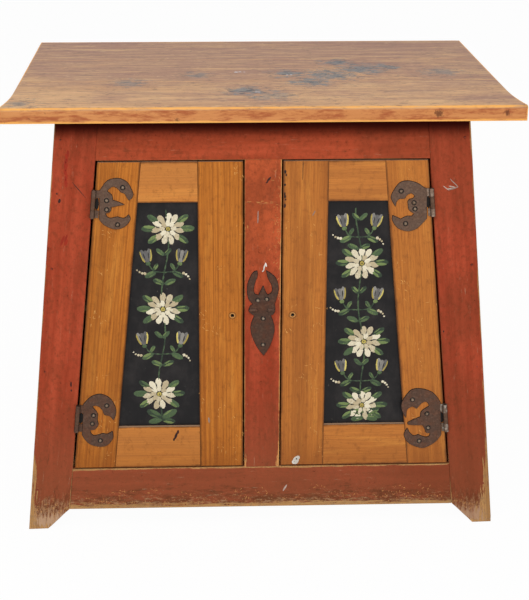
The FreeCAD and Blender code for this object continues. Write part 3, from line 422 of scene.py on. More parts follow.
@dataclass(frozen=True)
class Pine(Finish):
    """Planed pine: fine straight year rings with darker late wood, and a film of dirt at the arrises.

    The rings are drawn about 3 mm apart, as on quarter-sawn boards, with fibre and short flecks between them.
    It browns between the two heights above the floor in browned, and knob is where a lost knob's bore is.
    """

    early: str = "#cf8c44"
    late: str = "#9a5a26"
    deep: str = "#6e3c18"
    glow: str = "#dd9440"
    light: str = "#f0a45a"
    dirt: str = "#5a3418"
    ring_mm: float = 3.2
    ringed: float = 0.55
    dirt_reach_mm: float = 4.0
    rough: float = 0.55
    sheen: float = 0.2
    varied: float = 0.5
    browned: Point = (0.21, 0.13)
    dust: str = "#a39482"
    knob: Point | None = None

    def wood(self, tree: Tree) -> tuple[Any, Any]:
        """Draws rings, fibre, flecks and broad bands of tone.

        Args:
            tree: The shader tree.

        Returns:
            The wood's colour and its height for the bump.
        """
        grain = add(tree, "ShaderNodeAttribute", attribute_name="grain").node.outputs["Vector"]
        across = 1 / (self.ring_mm * MM)
        rings = spread(tree, grain, (1.3, across, across), 3, 0.5)
        fibre = spread(tree, grain, (24, 900, 900), 4, 0.75)
        bands = spread(tree, grain, (1.8, 26, 26), 2)
        warm = spread(tree, grain, (5, 48, 48), 4, 0.6)
        flecks = spread(tree, grain, (75, 620, 620), 3, 0.6)
        lighter = add(tree, "ShaderNodeAttribute", attribute_name="tone").node.outputs["Fac"]
        tone = lay(tree, self.early, self.late, rings, 0.44, 0.66, self.ringed)
        tone = lay(tree, tone, self.glow, warm, 0.5, 0.72, 0.5)
        tone = lay(tree, tone, self.late, fibre, 0.42, 0.7, 0.6)
        tone = lay(tree, tone, self.late, bands, 0.42, 0.75, self.varied)
        tone = lay(tree, tone, self.light, lighter, 0.0, 1.0)
        return lay(tree, tone, self.deep, flecks, 0.64, 0.76, 0.6), fibre

    def knob_mark(self, tree: Tree, place: Any, colour: Any) -> Any:
        """Draws a lost knob's bore, with the pale, dirty ring that its collar left, on either door.

        Args:
            tree: The shader tree.
            place: Place in the frame.
            colour: The wood's colour.

        Returns:
            The marked colour.
        """
        halo, collar, bore = (10 * MM, 8.2 * MM), (7.6 * MM, 6.4 * MM), (5.2 * MM, 4.6 * MM)
        mirrored = add(tree, VECTOR_MATH, {0: place}, operation="ABSOLUTE")
        middle = (self.knob[0] * MM, 0.0, self.knob[1] * MM)
        off = add(tree, VECTOR_MATH, {0: mirrored, 1: middle}, operation="SUBTRACT")
        flat = add(tree, VECTOR_MATH, {0: off, 1: (1.0, 0.0, 1.0)}, operation="MULTIPLY")
        away = add(tree, VECTOR_MATH, {0: flat}, operation="LENGTH").node.outputs["Value"]
        ragged = spread(tree, place, (260, 260, 260), 4, 0.75)
        away = add(tree, MATH, {0: ragged, 1: 3 * MM, 2: away}, operation="MULTIPLY_ADD")
        colour = lay(tree, colour, "#55300f", away, *halo, 0.55)
        colour = lay(tree, colour, "#cb9050", away, *collar, 0.85)
        return lay(tree, colour, "#120a06", away, *bore)

    def build(self) -> None:
        """Builds the bare pine, with dirt rubbed into its arrises and lower ends, and dust on its ledges."""
        tree, shader, place = self.start()
        tone, fibre = self.wood(tree)
        height = add(tree, "ShaderNodeSeparateXYZ", {0: place}).node.outputs["Z"]
        patches = spread(tree, place, (30, 30, 18), 5, 0.65)
        colour = Coat(self.deep, (85, 85, 60), 6, 0.75, 0.5, 0.72, 0.4).over(tree, tone, place)
        colour = lay(tree, colour, self.late, height, *self.browned, 0.4)
        grime = arris_strip(tree, patches, 2 * self.dirt_reach_mm * MM)
        colour = lay(tree, colour, self.dirt, grime, -1.0 * MM, 4 * MM, 0.8)
        if self.knob:
            colour = self.knob_mark(tree, place, colour)
        normal = add(tree, "ShaderNodeNewGeometry").node.outputs["Normal"]
        upward = add(tree, "ShaderNodeSeparateXYZ", {0: normal}).node.outputs["Z"]
        colour = lay(tree, colour, self.dust, upward, 0.6, 0.95, 0.6)
        self.fill(shader, colour, fibre, (0.3, 0.3), self.rough, self.sheen)


@dataclass(frozen=True)
class RedDistemper(Pine):
    """Thin red distemper brushed on pine: chalky, streaked along the grain, rubbed through at every arris.

    It browns and is scuffed near the floor and is scraped pale on the feet; painted shade darkens it most under
    the top's overhang, where the top's shadow falls.
    Dim spots are given by their place and radius in millimetres.
    """

    rough: float = 0.62
    sheen: float = 0.03
    paint: str = "#9c3f28"
    dark: str = "#743822"
    brown: str = "#8b5035"
    # Painted shade: the near-black that the paint darkens to under the top, between the heights in overhang, where
    # the top's shadow falls.
    soot_and_shade: str = "#310603"
    wear_mm: float = 1.2
    worn_low: float = 9.0
    foot: float = 0.052
    dim: tuple[tuple[float, ...], ...] = ((415, -285, 165, 190), (345, -285, 735, 130))
    overhang: Point = (0.8, 0.836)
    # Brushed streaks about 330 by 24 mm, slow clouds, dark specks of 6 mm, and hair scratches both ways.
    brushed: Coat = Coat("#b95035", (3.0, 42, 42), 6, 0.65, 0.36, 0.7)
    clouds: Coat = Coat("#743822", (9, 9, 6), 5, 0.6, 0.46, 0.7, 0.45)
    specks: Coat = Coat("#3d1710", (160, 160, 110), 4, 0.75, 0.63, 0.74, 0.7)
    hairs: Coat = Coat("#c2703f", (9, 330, 330), 5, 0.75, 0.64, 0.76, 0.45)
    level_hairs: Coat = Coat("#c47c48", (28, 28, 420), 3, 0.7, 0.7, 0.8, 0.4)
    # Scuffs near the floor: dull patches, pale rubs along the grain, small nicks, and the scraped toes.
    dull: Coat = Coat("#5b3823", (26, 90, 90), 7, 0.8, 0.54, 0.74, 0.7)
    rubs: Coat = Coat("#ad8562", (60, 190, 190), 7, 0.85, 0.65, 0.77, 0.8)
    nicks: Coat = Coat("#c9935c", (230, 230, 230), 5, 0.75, 0.72, 0.8, 0.8)
    scrapes: Coat = Coat("#c39f80", (22, 190, 190), 6, 0.8, 0.6, 0.78, 0.9)

    def bare(self, tree: Tree, grain: Any, height: Any) -> Any:
        """Finds the bare wood: nearer to an arris than a ragged reach, which grows towards the floor.

        Args:
            tree: The shader tree.
            grain: The board's grain coordinates.
            height: Height above the floor.

        Returns:
            How far inside the bare strip a place lies.
        """
        ragged = spread(tree, grain, (16, 210, 210), 6, 0.75)
        low = add(tree, MAP_RANGE, {0: height, 1: 0.19, 2: 0.02, 3: 1.0, 4: self.worn_low})
        reach = add(tree, MATH, {0: ragged, 1: 0.34}, operation="SUBTRACT")
        reach = add(tree, MATH, {0: reach, 1: 6 * self.wear_mm * MM}, operation="MULTIPLY")
        return arris_strip(tree, reach, low)

    def coat(self, tree: Tree, grain: Any, place: Any, height: Any, mottle: Any) -> Any:
        """Draws the paint as it was brushed on, with its stains and hair scratches.

        Args:
            tree: The shader tree.
            grain: The board's grain coordinates.
            place: Place in the frame.
            height: Height above the floor.
            mottle: The fine mottling's field.

        Returns:
            The paint's colour.
        """
        paint = self.brushed.over(tree, self.paint, grain)
        rubbed = add(tree, "ShaderNodeAttribute", attribute_name="tone").node.outputs["Fac"]
        higher = add(tree, MAP_RANGE, {0: height, 1: 0.42, 2: 0.62, 3: 0.0, 4: 1.0})
        rubbed = add(tree, MATH, {0: rubbed, 1: higher}, operation="MULTIPLY")
        paint = lay(tree, paint, "#d0683a", rubbed, 0.0, 1.0)
        paint = lay(tree, paint, self.dark, mottle, 0.44, 0.68, 0.6)
        paint = self.clouds.over(tree, paint, place)
        paint = lay(tree, paint, self.brown, height, 0.36, 0.05, 0.75)
        for coat, vector in ((self.specks, place), (self.hairs, grain), (self.level_hairs, place)):
            paint = coat.over(tree, paint, vector)
        return paint

    def scuffs(self, tree: Tree, grain: Any, place: Any, height: Any, paint: Any) -> Any:
        """Scuffs the paint near the floor and scrapes the feet.

        Args:
            tree: The shader tree.
            grain: The board's grain coordinates.
            place: Place in the frame.
            height: Height above the floor.
            paint: The paint's colour.

        Returns:
            The scuffed colour.
        """
        low = add(tree, MAP_RANGE, {0: height, 1: 0.105, 2: 0.045, 3: 0.0, 4: 0.2})
        toe = add(tree, MAP_RANGE, {0: height, 1: self.foot, 2: 0.02, 3: 0.0, 4: 0.3})
        paint = self.dull.over(tree, paint, grain, low)
        paint = self.rubs.over(tree, paint, grain, low)
        paint = self.nicks.over(tree, paint, place, low)
        return self.scrapes.over(tree, paint, grain, toe)

    def build(self) -> None:
        """Builds the paint over the wood, its scuffs and where it has worn away."""
        tree, shader, place = self.start()
        wood, _ = self.wood(tree)
        grain = add(tree, "ShaderNodeAttribute", attribute_name="grain").node.outputs["Vector"]
        height = add(tree, "ShaderNodeSeparateXYZ", {0: place}).node.outputs["Z"]
        mottle = spread(tree, place, (120, 120, 90), 7, 0.8)
        paint = self.coat(tree, grain, place, height, mottle)
        paint = self.scuffs(tree, grain, place, height, paint)
        paint = lay(tree, paint, self.dark, nearest(tree, place, self.dim), 1.1, 0.5, 0.36)
        # Painted shade: the paint darkens towards the top, under the overhang, where the top's shadow falls.
        paint = lay(tree, paint, self.soot_and_shade, height, *self.overhang, 0.98)
        bare = self.bare(tree, grain, height)
        dusty = lay(tree, wood, "#8f7357", mottle, 0.45, 0.65, 0.6)
        colour = lay(tree, paint, dusty, bare, -0.1 * MM, 0.7 * MM, 0.95)
        film = add(tree, MAP_RANGE, {0: bare, 1: 0.0, 2: 0.6 * MM, 3: 0.6, 4: 0.0})
        film = add(tree, MATH, {0: film, 1: mottle}, operation="ADD")
        self.fill(shader, colour, film, (0.4, 0.4), self.rough, self.sheen)


@dataclass(frozen=True)
class WeatheredTop(Pine):
    """Old scrubbed pine worktop: the varnish is gone to mauve-grey, with tan streaks and blue-grey stains.

    Spots are given by their place and radius in millimetres.
    """

    rough: float = 0.5
    haze: str = "#9c6f5c"
    stain: str = "#6d7376"
    rim: str = "#f2ae58"
    rim_mm: float = 9.0
    stains: tuple[tuple[float, ...], ...] = (
        (143, -46, 876, 62), (215, 12, 876, 58), (98, -108, 876, 44), (262, 30, 876, 36), (60, -30, 876, 40),
        (-31, -188, 876, 46), (170, 80, 876, 40),
    )
    faint: tuple[tuple[float, ...], ...] = (
        (-252, -110, 876, 50), (367, -23, 876, 60), (-444, -285, 876, 45), (-120, -40, 876, 40),
        (20, -230, 876, 60),
    )
    specks: tuple[tuple[float, ...], ...] = (
        (-43, -12, 876, 5), (-35, -11, 876, 6), (-27, -12, 876, 4), (58, -43, 876, 4), (66, -42, 876, 5),
        (-10, -196, 876, 4), (-5, -197, 876, 4),
    )
    knots: tuple[tuple[float, ...], ...] = ((318, -320, 862, 9), (443, -320, 862, 7), (-158, -320, 852, 5))
    # Tan streaks, mauve clouds, brown veins and dark dashes along the grain, then fine dark and pale marks,
    # drawn coarser than real ones so that they show: about 25 by 7 mm.
    streaks: tuple[Coat, ...] = (
        Coat("#dcb17c", (4.5, 64, 64), 7, 0.8, 0.46, 0.62, 0.66),
        Coat("#875a52", (4, 18, 18), 6, 0.75, 0.5, 0.7, 0.55),
        Coat("#6f5444", (18, 60, 60), 8, 0.9, 0.52, 0.68, 0.5),
        Coat("#4f362b", (26, 66, 66), 5, 0.75, 0.64, 0.71, 0.8),
        Coat("#65463b", (45, 150, 150), 3, 0.7, 0.57, 0.66, 0.55),
        Coat("#dcb78c", (38, 140, 140), 3, 0.75, 0.6, 0.7, 0.55),
    )
    scratches: Coat = Coat("#e8d2b6", (34, 90, 90), 5, 0.8, 0.66, 0.76, 0.65)
    # The edges: orange-brown patches and dark specks, and finer specks over edges and upper face.
    browning: Coat = Coat("#9c4a29", (17, 17, 75), 7, 0.75, 0.44, 0.62, 0.8)
    edge_specks: Coat = Coat("#6a3a22", (110, 110, 150), 4, 0.7, 0.62, 0.74, 0.75)
    last_specks: Coat = Coat("#5a3421", (140, 140, 230), 3, 0.7, 0.67, 0.76, 0.8)
    upper_face: Point = (0.8685, 0.8735)

    def surface(self, tree: Tree, wood: Any, grain: Any, place: Any, back: Any) -> Any:
        """Draws the upper face.

        Args:
            tree: The shader tree.
            wood: Colour of the wood.
            grain: The board's grain coordinates.
            place: Place in the frame.
            back: Place from front to back.

        Returns:
            The face's colour.
        """
        # Haze lies thickest at the back and fades towards the front edge.
        cloud = spread(tree, place, (5, 9, 5), 7, 0.7)
        ramp = add(tree, MAP_RANGE, {0: back, 1: -0.30, 2: 0.10, 3: 0.0, 4: 0.26})
        lying = add(tree, MATH, {0: cloud, 1: ramp}, operation="ADD")
        colour = lay(tree, wood, self.haze, lying, 0.42, 0.74, 0.85)
        for coat in self.streaks:
            colour = coat.over(tree, colour, grain)
        ragged = spread(tree, place, (38, 55, 55), 8, 0.85)
        for places, pull, share in ((self.stains, -0.15, 0.85), (self.faint, -0.2, 0.55)):
            away = nearest(tree, place, places)
            edge = add(tree, MATH, {0: away, 1: pull, 2: ragged}, operation="MULTIPLY_ADD")
            colour = lay(tree, colour, self.stain, edge, 0.36, 0.46, share)
            ink = spread(tree, grain, (50, 130, 130), 4, 0.75)
            near = add(tree, MATH, {0: away, 1: -0.08, 2: ink}, operation="MULTIPLY_ADD")
            colour = lay(tree, colour, "#35373d", near, 0.49, 0.55, share)
        chalk = nearest(tree, place, self.specks)
        chalk = add(tree, MATH, {0: chalk, 1: -0.25, 2: ragged}, operation="MULTIPLY_ADD")
        colour = lay(tree, colour, "#d5d6dc", chalk, 0.28, 0.4, 0.9)
        return self.scratches.over(tree, colour, grain)

    def build(self) -> None:
        """Builds the top's upper face, its orange edges and the bright worn arrises."""
        tree, shader, place = self.start()
        wood, fibre = self.wood(tree)
        grain = add(tree, "ShaderNodeAttribute", attribute_name="grain").node.outputs["Vector"]
        _, back, height = add(tree, "ShaderNodeSeparateXYZ", {0: place}).node.outputs
        upper = self.surface(tree, wood, grain, place, back)
        edge = lay(tree, wood, "#cc7c3c", height, 0.0, 0.5, 0.65)
        for coat in (self.browning, self.edge_specks):
            edge = coat.over(tree, edge, place)
        away = nearest(tree, place, self.knots)
        knot = spread(tree, place, (150, 150, 90), 5, 0.8)
        knot = add(tree, MATH, {0: away, 1: -0.22, 2: knot}, operation="MULTIPLY_ADD")
        edge = lay(tree, edge, "#552a18", knot, 0.28, 0.42, 0.75)
        colour = lay(tree, edge, upper, height, *self.upper_face)
        ragged = spread(tree, grain, (26, 160, 160), 5, 0.7)
        over = arris_strip(tree, ragged, self.rim_mm * MM)
        colour = lay(tree, colour, self.rim, over, -0.5 * MM, 3.0 * MM, 0.95)
        colour = self.last_specks.over(tree, colour, place)
        self.fill(shader, colour, fibre, (0.35, 0.4), self.rough, self.sheen)


@dataclass(frozen=True)
class PanelPaint(Finish):
    """Near-black oil paint on the sunk panels: satin, brushed upwards, clouded and flecked with dust."""

    rough: float = 0.45
    gloss: float = 0.2

    def build(self) -> None:
        """Builds the paint film."""
        tree, shader, place = self.start()
        brush = spread(tree, place, (260, 260, 9), 4, 0.6)
        colour = Coat("#353130", (26, 26, 20), 5, 0.65, 0.4, 0.75, 0.6).over(tree, "#181617", place)
        colour = lay(tree, colour, "#5a534e", brush, 0.62, 0.8, 0.2)
        colour = Coat("#7d766c", (120, 120, 60), 6, 0.8, 0.65, 0.74, 0.7).over(tree, colour, place)
        self.fill(shader, colour, brush, (0.2, 0.2), self.rough, self.gloss)


@dataclass(frozen=True)
class ForgedIron(Finish):
    """Hand-forged iron: brown oxide skin over hammer facets, rust in the hollows, rubbed ridges.

    Faces that turn away from the front are darkened as painted shade, so rims and nail sides look dark.
    """

    slot: str = "forged_iron"
    skin: str = "#4a3327"
    rust: str = "#5c3421"
    rubbed: str = "#684d3c"
    # Dark colour of the scale, and also the painted shade on faces turned away from the front.
    soot_and_shade: str = "#1a120e"
    metal: float = 0.2
    rough: float = 0.55
    gloss: float = 0.25
    # Facing towards the front at which the painted shade starts, and the facing at which it is full.
    turned: tuple[float, float] = (0.85, 0.4)

    def build(self) -> None:
        """Builds the oxide skin and its hammer marks."""
        tree, shader, place = self.start()
        # Hammer facets about 6 mm wide, scale about 2 mm.
        facets = add(tree, "ShaderNodeTexVoronoi", {"Vector": place, "Scale": 170.0}, feature="SMOOTH_F1")
        scale = spread(tree, place, (420, 420, 420), 4, 0.7)
        colour = Coat(self.rust, (60, 60, 60), 6, 0.7, 0.42, 0.66, 0.7).over(tree, self.skin, place)
        colour = lay(tree, colour, self.rubbed, facets, 0.45, 0.1, 0.4)
        colour = lay(tree, colour, self.soot_and_shade, scale, 0.5, 0.72, 0.6)
        # Painted shade: faces that turn away from the front are darkened.
        normal = add(tree, "ShaderNodeNewGeometry").node.outputs["Normal"]
        front = add(tree, VECTOR_MATH, {0: normal, 1: (0, -1, 0)}, operation="DOT_PRODUCT")
        colour = lay(tree, colour, self.soot_and_shade, front.node.outputs["Value"], *self.turned, 0.8)
        shader.inputs["Metallic"].default_value = self.metal
        height = add(tree, MATH, {0: scale, 1: 0.4, 2: facets}, operation="MULTIPLY_ADD")
        self.fill(shader, colour, height, (0.5, 0.5), self.rough, self.gloss)


KNOB_MM = (58.0, 458.0)
RED = RedDistemper("red distemper on pine", "red_paint", early="#c99a62", late="#94683e", glow="#d3a871")
HONEY = Pine("honey pine, oiled", "honey_pine", early="#c5772c", late="#84461a", sheen=0.12, knob=KNOB_MM)
SMOOTH = Pine(
    "honey pine, rubbed smooth", "honey_pine", early="#c07530", late="#84461a", ringed=0.28, knob=KNOB_MM
)
BARE = Pine(
    "bare pine", "bare_pine", early="#c79c68", late="#a0713f", glow="#d2a976", dirt="#6a4a30", rough=0.7
)
TOP = WeatheredTop(
    "scrubbed pine worktop", "weathered_top", early="#e0b07d", late="#ad7850", glow="#e6b883"
)
BLACK = PanelPaint("near-black oil paint", "black_panel_paint")
IRON = ForgedIron("hand-forged iron")
GREYED = ForgedIron("greyed iron", skin="#634c3e", rust="#634736", rubbed="#7f6654")
RUSTY = ForgedIron("rusty forged iron", skin="#563e31", rust="#66402c", rubbed="#765a4a")
STEEL = ForgedIron(
    "bare rubbed iron", skin="#8a7261", rust="#6f5849", rubbed="#b7a596", metal=0.5
)
SPLASHED = ForgedIron(
    "paint-splashed iron", skin="#7d6a5b", rust="#553d2e", rubbed="#e6dfd2"
)
BARREL = ForgedIron("worn knuckle iron", skin="#5a4232", rust="#644330", rubbed="#7b604e")
COATED = ForgedIron(
    "iron under red distemper", "nail_iron", skin="#8c3a26", rust="#7c3423", rubbed="#9a452e",
    metal=0.0, rough=0.7, turned=(0.5, 0.1),
)
# Nail heads: painted shade darkens the dome's sides, and the light skin left on the middle, which faces the front,
# is a painted highlight.
NAIL = ForgedIron(
    "nail iron", "nail_iron", skin="#85725f", rust="#6a503c", rubbed="#b09e8c",
    metal=0.5, rough=0.35, turned=(0.96, 0.72),
)


# ---------------------------------------------------------------- boards


class Run(Enum):
    """Which way a board's grain runs."""

    ACROSS = (1.0, 0.0, 0.0)
    UPRIGHT = (0.0, 0.0, 1.0)
    DEEP = (0.0, 1.0, 0.0)
    LEFT_SPLAY = (SPLAY, 0.0, 1.0)
    RIGHT_SPLAY = (-SPLAY, 0.0, 1.0)

    def axes(self) -> tuple[Vector, Vector, Vector]:
        """Finds the board's own axes.

        Returns:
            The axes along the grain, across it and through the board's depth.
        """
        along = Vector(self.value).normalized()
        deep = Vector((0, 0, 1)) if self is Run.DEEP else Vector((0, 1, 0))
        side = deep.cross(along)
        return along, side if max(side, key=abs) > 0 else -side, deep


@dataclass
class Board:
    """One board: a worn copy of its node, sliced across the grain so that its arrises can waver.

    Use has rounded its arrises by arris_mm and eaten into them by nibble_mm. The reaches say how far wear
    comes from the low side of each axis, then from the high ones. A board's tone says how much lighter
    than its neighbours it is.
    """

    node: str
    run: Run
    finish: Finish
    arris_mm: float = 0.7
    nibble_mm: float = 0.5
    reaches: tuple[float, ...] = (0.3, 1.0, 1.0, 0.3, 1.0, 1.0)
    tone: float = 0.0
    slice_mm: float = 14.0

    def along(self, point: Vector) -> float:
        """Measures along the board: by height on a splayed one, whose ends are level.

        Args:
            point: A point of the board.

        Returns:
            Its place along the board.
        """
        if self.run in (Run.LEFT_SPLAY, Run.RIGHT_SPLAY):
            return point.z
        return point.dot(self.run.axes()[0])

    def ends(self, point: Vector, low: float, high: float) -> tuple[float, float]:
        """Distances of a point to the board's two ends."""
        return self.along(point) - low, high - self.along(point)

    def soften(self, bm: bmesh.types.BMesh) -> None:
        """Rounds the long arrises a little.

        Args:
            bm: The board's shape.
        """
        shortest, flattest = 15 * MM, math.radians(30)
        edges = []
        for edge in bm.edges:
            if len(edge.link_faces) == 2 and edge.is_convex and edge.calc_length() > shortest:
                if edge.calc_face_angle() > flattest:
                    edges.append(edge)
        bmesh.ops.bevel(bm, geom=edges, offset=self.arris_mm * MM, segments=2, profile=0.5, affect="EDGES")

    def wear(self, bm: bmesh.types.BMesh) -> None:
        """Eats into the arrises with a slow and a fine noise, whose waves are 45 and 10 mm long.

        Args:
            bm: The board's shape.
        """
        axes = self.run.axes()
        flat = 0.98
        bm.normal_update()
        for vert in bm.verts:
            square = max(abs(vert.normal.dot(axis)) for axis in axes)
            if square > flat:
                continue
            slow = 0.5 + noise.noise(vert.co * 22)
            fine = 0.5 + noise.noise(vert.co * 95)
            depth = self.nibble_mm * MM * max(0.0, slow * 0.7 + fine * 0.6 - 0.25)
            vert.co -= vert.normal * depth

    def mark(self, mesh: bpy.types.Mesh) -> None:
        """Writes the grain coordinates, the distances to the board's sides and its tone as attributes.

        Args:
            mesh: The board's mesh.
        """
        axes = self.run.axes()
        offset = Vector((random.Random(self.node).uniform(0, 40), 0, 0))
        places = [Vector([v.co.dot(axis) for axis in axes]) for v in mesh.vertices]
        low = [min(p[i] for p in places) for i in range(3)]
        high = [max(p[i] for p in places) for i in range(3)]
        reach = [self.along(v.co) for v in mesh.vertices]
        first, last = min(reach), max(reach)
        for name in ("grain", "near", "far"):
            mesh.attributes.new(name, "FLOAT_VECTOR", "POINT")
        mesh.attributes.new("tone", "FLOAT", "POINT")
        fields = mesh.attributes
        for index, place in enumerate(places):
            near = [place[i] - low[i] for i in range(3)]
            far = [high[i] - place[i] for i in range(3)]
            near[0], far[0] = self.ends(mesh.vertices[index].co, first, last)
            fields["grain"].data[index].vector = place + offset
            fields["tone"].data[index].value = self.tone
            fields["near"].data[index].vector = [d / r for d, r in zip(near, self.reaches[:3])]
            fields["far"].data[index].vector = [d / r for d, r in zip(far, self.reaches[3:])]

    def build(self) -> bpy.types.Object:
        """Makes the worn copy of the node.

        Returns:
            The copy, as a piece.
        """
        bm = bmesh.new()
        bm.from_mesh(frame["nodes"][self.node].data)
        bmesh.ops.remove_doubles(bm, verts=bm.verts[:], dist=0.01 * MM)
        bmesh.ops.dissolve_limit(bm, angle_limit=math.radians(0.2), verts=bm.verts[:], edges=bm.edges[:])
        self.soften(bm)
        along = self.run.axes()[0]
        reach = [v.co.dot(along) for v in bm.verts]
        slice_across(bm, along, min(reach), max(reach), self.slice_mm * MM)
        self.wear(bm)
        mesh = finish_mesh(bm, self.node + "_wood", self.finish.material())
        self.mark(mesh)
        return publish(self.node + "_wood", mesh, BODY_OF[self.node], self.finish.slot, [self.node])


@dataclass
class TopBoard(Board):
    """A board of the top, whose ends flare out towards the front corners.

    The flare starts at the depth flare_from and stands out by flare_mm at the front.
    """

    flare_mm: float = 13.0
    flare_from: float = -0.195
    flare_length: float = 0.125

    def ends(self, point: Vector, low: float, high: float) -> tuple[float, float]:
        """Measures to the two ends along the board, at the point's own depth.

        Args:
            point: A point of the board.
            low: Not used, because the ends flare.
            high: Not used either.

        Returns:
            The distances to the left and the right end.
        """
        widest = CAD_BOX[1].x
        part = min(1.0, max(0.0, (self.flare_from - point.y) / self.flare_length))
        half = widest - self.flare_mm * MM * (1 - part ** 2)
        return point.x + half, half - point.x


@dataclass
class Case:
    """The case: top, face frame, sides, back, floor and shelf.

    Wear comes outer_reach from the outer arris of the left front stile, right_more times as far on the
    right one, and rail_reach from the lower arris of the bottom rail.
    """

    outer_reach: float = 1.25
    right_more: float = 1.5
    rail_reach: float = 1.0

    def boards(self) -> Iterable[Board]:
        """Lists the case's boards, each with its grain, finish and wear.

        Returns:
            The boards, one after another.
        """
        joints = {"front": (1.0, 0.12), "middle": (0.12, 0.12), "back": (0.12, 1.0)}
        for place, (before, behind) in joints.items():
            reaches = (0.6, 1.0, before, 0.6, 1.0, behind)
            yield TopBoard(f"top_{place}_board", Run.ACROSS, TOP, 0.3, 0.4, reaches)
        splays = {"left": Run.LEFT_SPLAY, "right": Run.RIGHT_SPLAY}
        for side, run in splays.items():
            reaches = (0.9, self.outer_reach, 1.0, 0.3, 0.12, 1.0)
            if side == "right":
                reaches = (0.6, 0.12, 1.0, 0.3, self.outer_reach * self.right_more, 1.0)
            yield Board(f"{side}_front_stile", run, RED, 1.0, 1.4, reaches)
            yield Board(f"{side}_side_front_board", run, RED, 0.8, 0.8, (0.3, 1.0, 1.0, 0.3, 1.0, 0.25))
            yield Board(f"{side}_side_back_board", run, RED, 0.8, 0.8, (0.3, 1.0, 0.25, 0.3, 1.0, 1.0))
            for node in (f"back_{side}_board", f"back_inner_{side}_board"):
                yield Board(node, Run.UPRIGHT, BARE)
            for name in ("floor_cleat", "shelf_cleat", "top_batten"):
                yield Board(f"{side}_{name}", Run.DEEP, BARE)
        yield Board("centre_stile", Run.UPRIGHT, RED, 0.5, 0.5, (0.05, 0.8, 1.0, 0.05, 1.5, 1.0), 0.5)
        yield Board("front_top_rail", Run.ACROSS, RED, 0.5, 0.4, (0.05, 0.4, 1.0, 0.05, 0.05, 1.0), 0.25)
        reaches = (0.03, self.rail_reach, 1.0, 0.03, 0.5, 1.0)
        yield Board("front_bottom_rail", Run.ACROSS, RED, 0.7, 1.0, reaches)
        for node in ("floor_front_board", "floor_back_board", "shelf_front_board", "shelf_back_board"):
            yield Board(node, Run.ACROSS, BARE, 0.6, 0.3)
        yield Board("door_stop_strip", Run.ACROSS, BARE)

    def build(self) -> None:
        """Builds every board of the case."""
        for board in self.boards():
            board.build()
        LOG.info("case: boards")


@dataclass
class Tongues:
    """Loose tongues that close the joints between the back boards, dark with dust."""

    boards: tuple[str, ...] = (
        "back_left_board", "back_inner_left_board", "back_inner_right_board", "back_right_board",
    )
    thick_mm: float = 6.0
    arris_mm: float = 0.2

    def build(self) -> None:
        """Builds a slim strip in each joint."""
        bm = bmesh.new()
        for before, behind in zip(self.boards, self.boards[1:]):
            (_, near, before_foot), (left, far, head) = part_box(before)
            right, _, behind_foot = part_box(behind)[0]
            foot = max(before_foot, behind_foot)
            middle = Vector(((left + right) / 2, (near + far) / 2, (foot + head) / 2))
            size = Matrix.Diagonal((right - left, self.thick_mm * MM, head - foot, 1.0))
            made = bmesh.ops.create_cube(bm, size=1.0, matrix=Matrix.Translation(middle) @ size)
            edges = {edge for vert in made["verts"] for edge in vert.link_edges}
            bmesh.ops.bevel(bm, geom=list(edges), offset=self.arris_mm * MM, segments=2, affect="EDGES")
        publish("back_tongues", finish_mesh(bm, "back_tongues", BARE.material()), "root", BARE.slot)
        LOG.info("case: back tongues")


@dataclass
class Door:
    """One door: hinge stile, inner stile, two rails and the painted panel.

    The tones say how much lighter than its neighbours each rail is.
    """

    side: str
    wood: Finish
    top_tone: float
    bottom_tone: float

    def boards(self) -> Iterable[Board]:
        """Lists the door's boards, each with its grain and finish.

        Returns:
            The boards, one after another.
        """
        splay = Run.LEFT_SPLAY if self.side == "left" else Run.RIGHT_SPLAY
        name = f"{self.side}_door_"
        yield Board(name + "hinge_stile", splay, self.wood, 0.6, 0.6)
        yield Board(name + "inner_stile", Run.UPRIGHT, self.wood, 0.6, 0.6)
        yield Board(name + "top_rail", Run.ACROSS, self.wood, 0.5, 0.3, tone=self.top_tone)
        yield Board(name + "bottom_rail", Run.ACROSS, self.wood, 0.5, 0.3, tone=self.bottom_tone)
        yield Board(name + "panel", Run.UPRIGHT, BLACK, 0.3, 0.2)

    def build(self) -> None:
        """Builds the door's boards."""
        for board in self.boards():
            board.build()
        LOG.info("%s door: boards", self.side)


# ---------------------------------------------------------------- ironwork


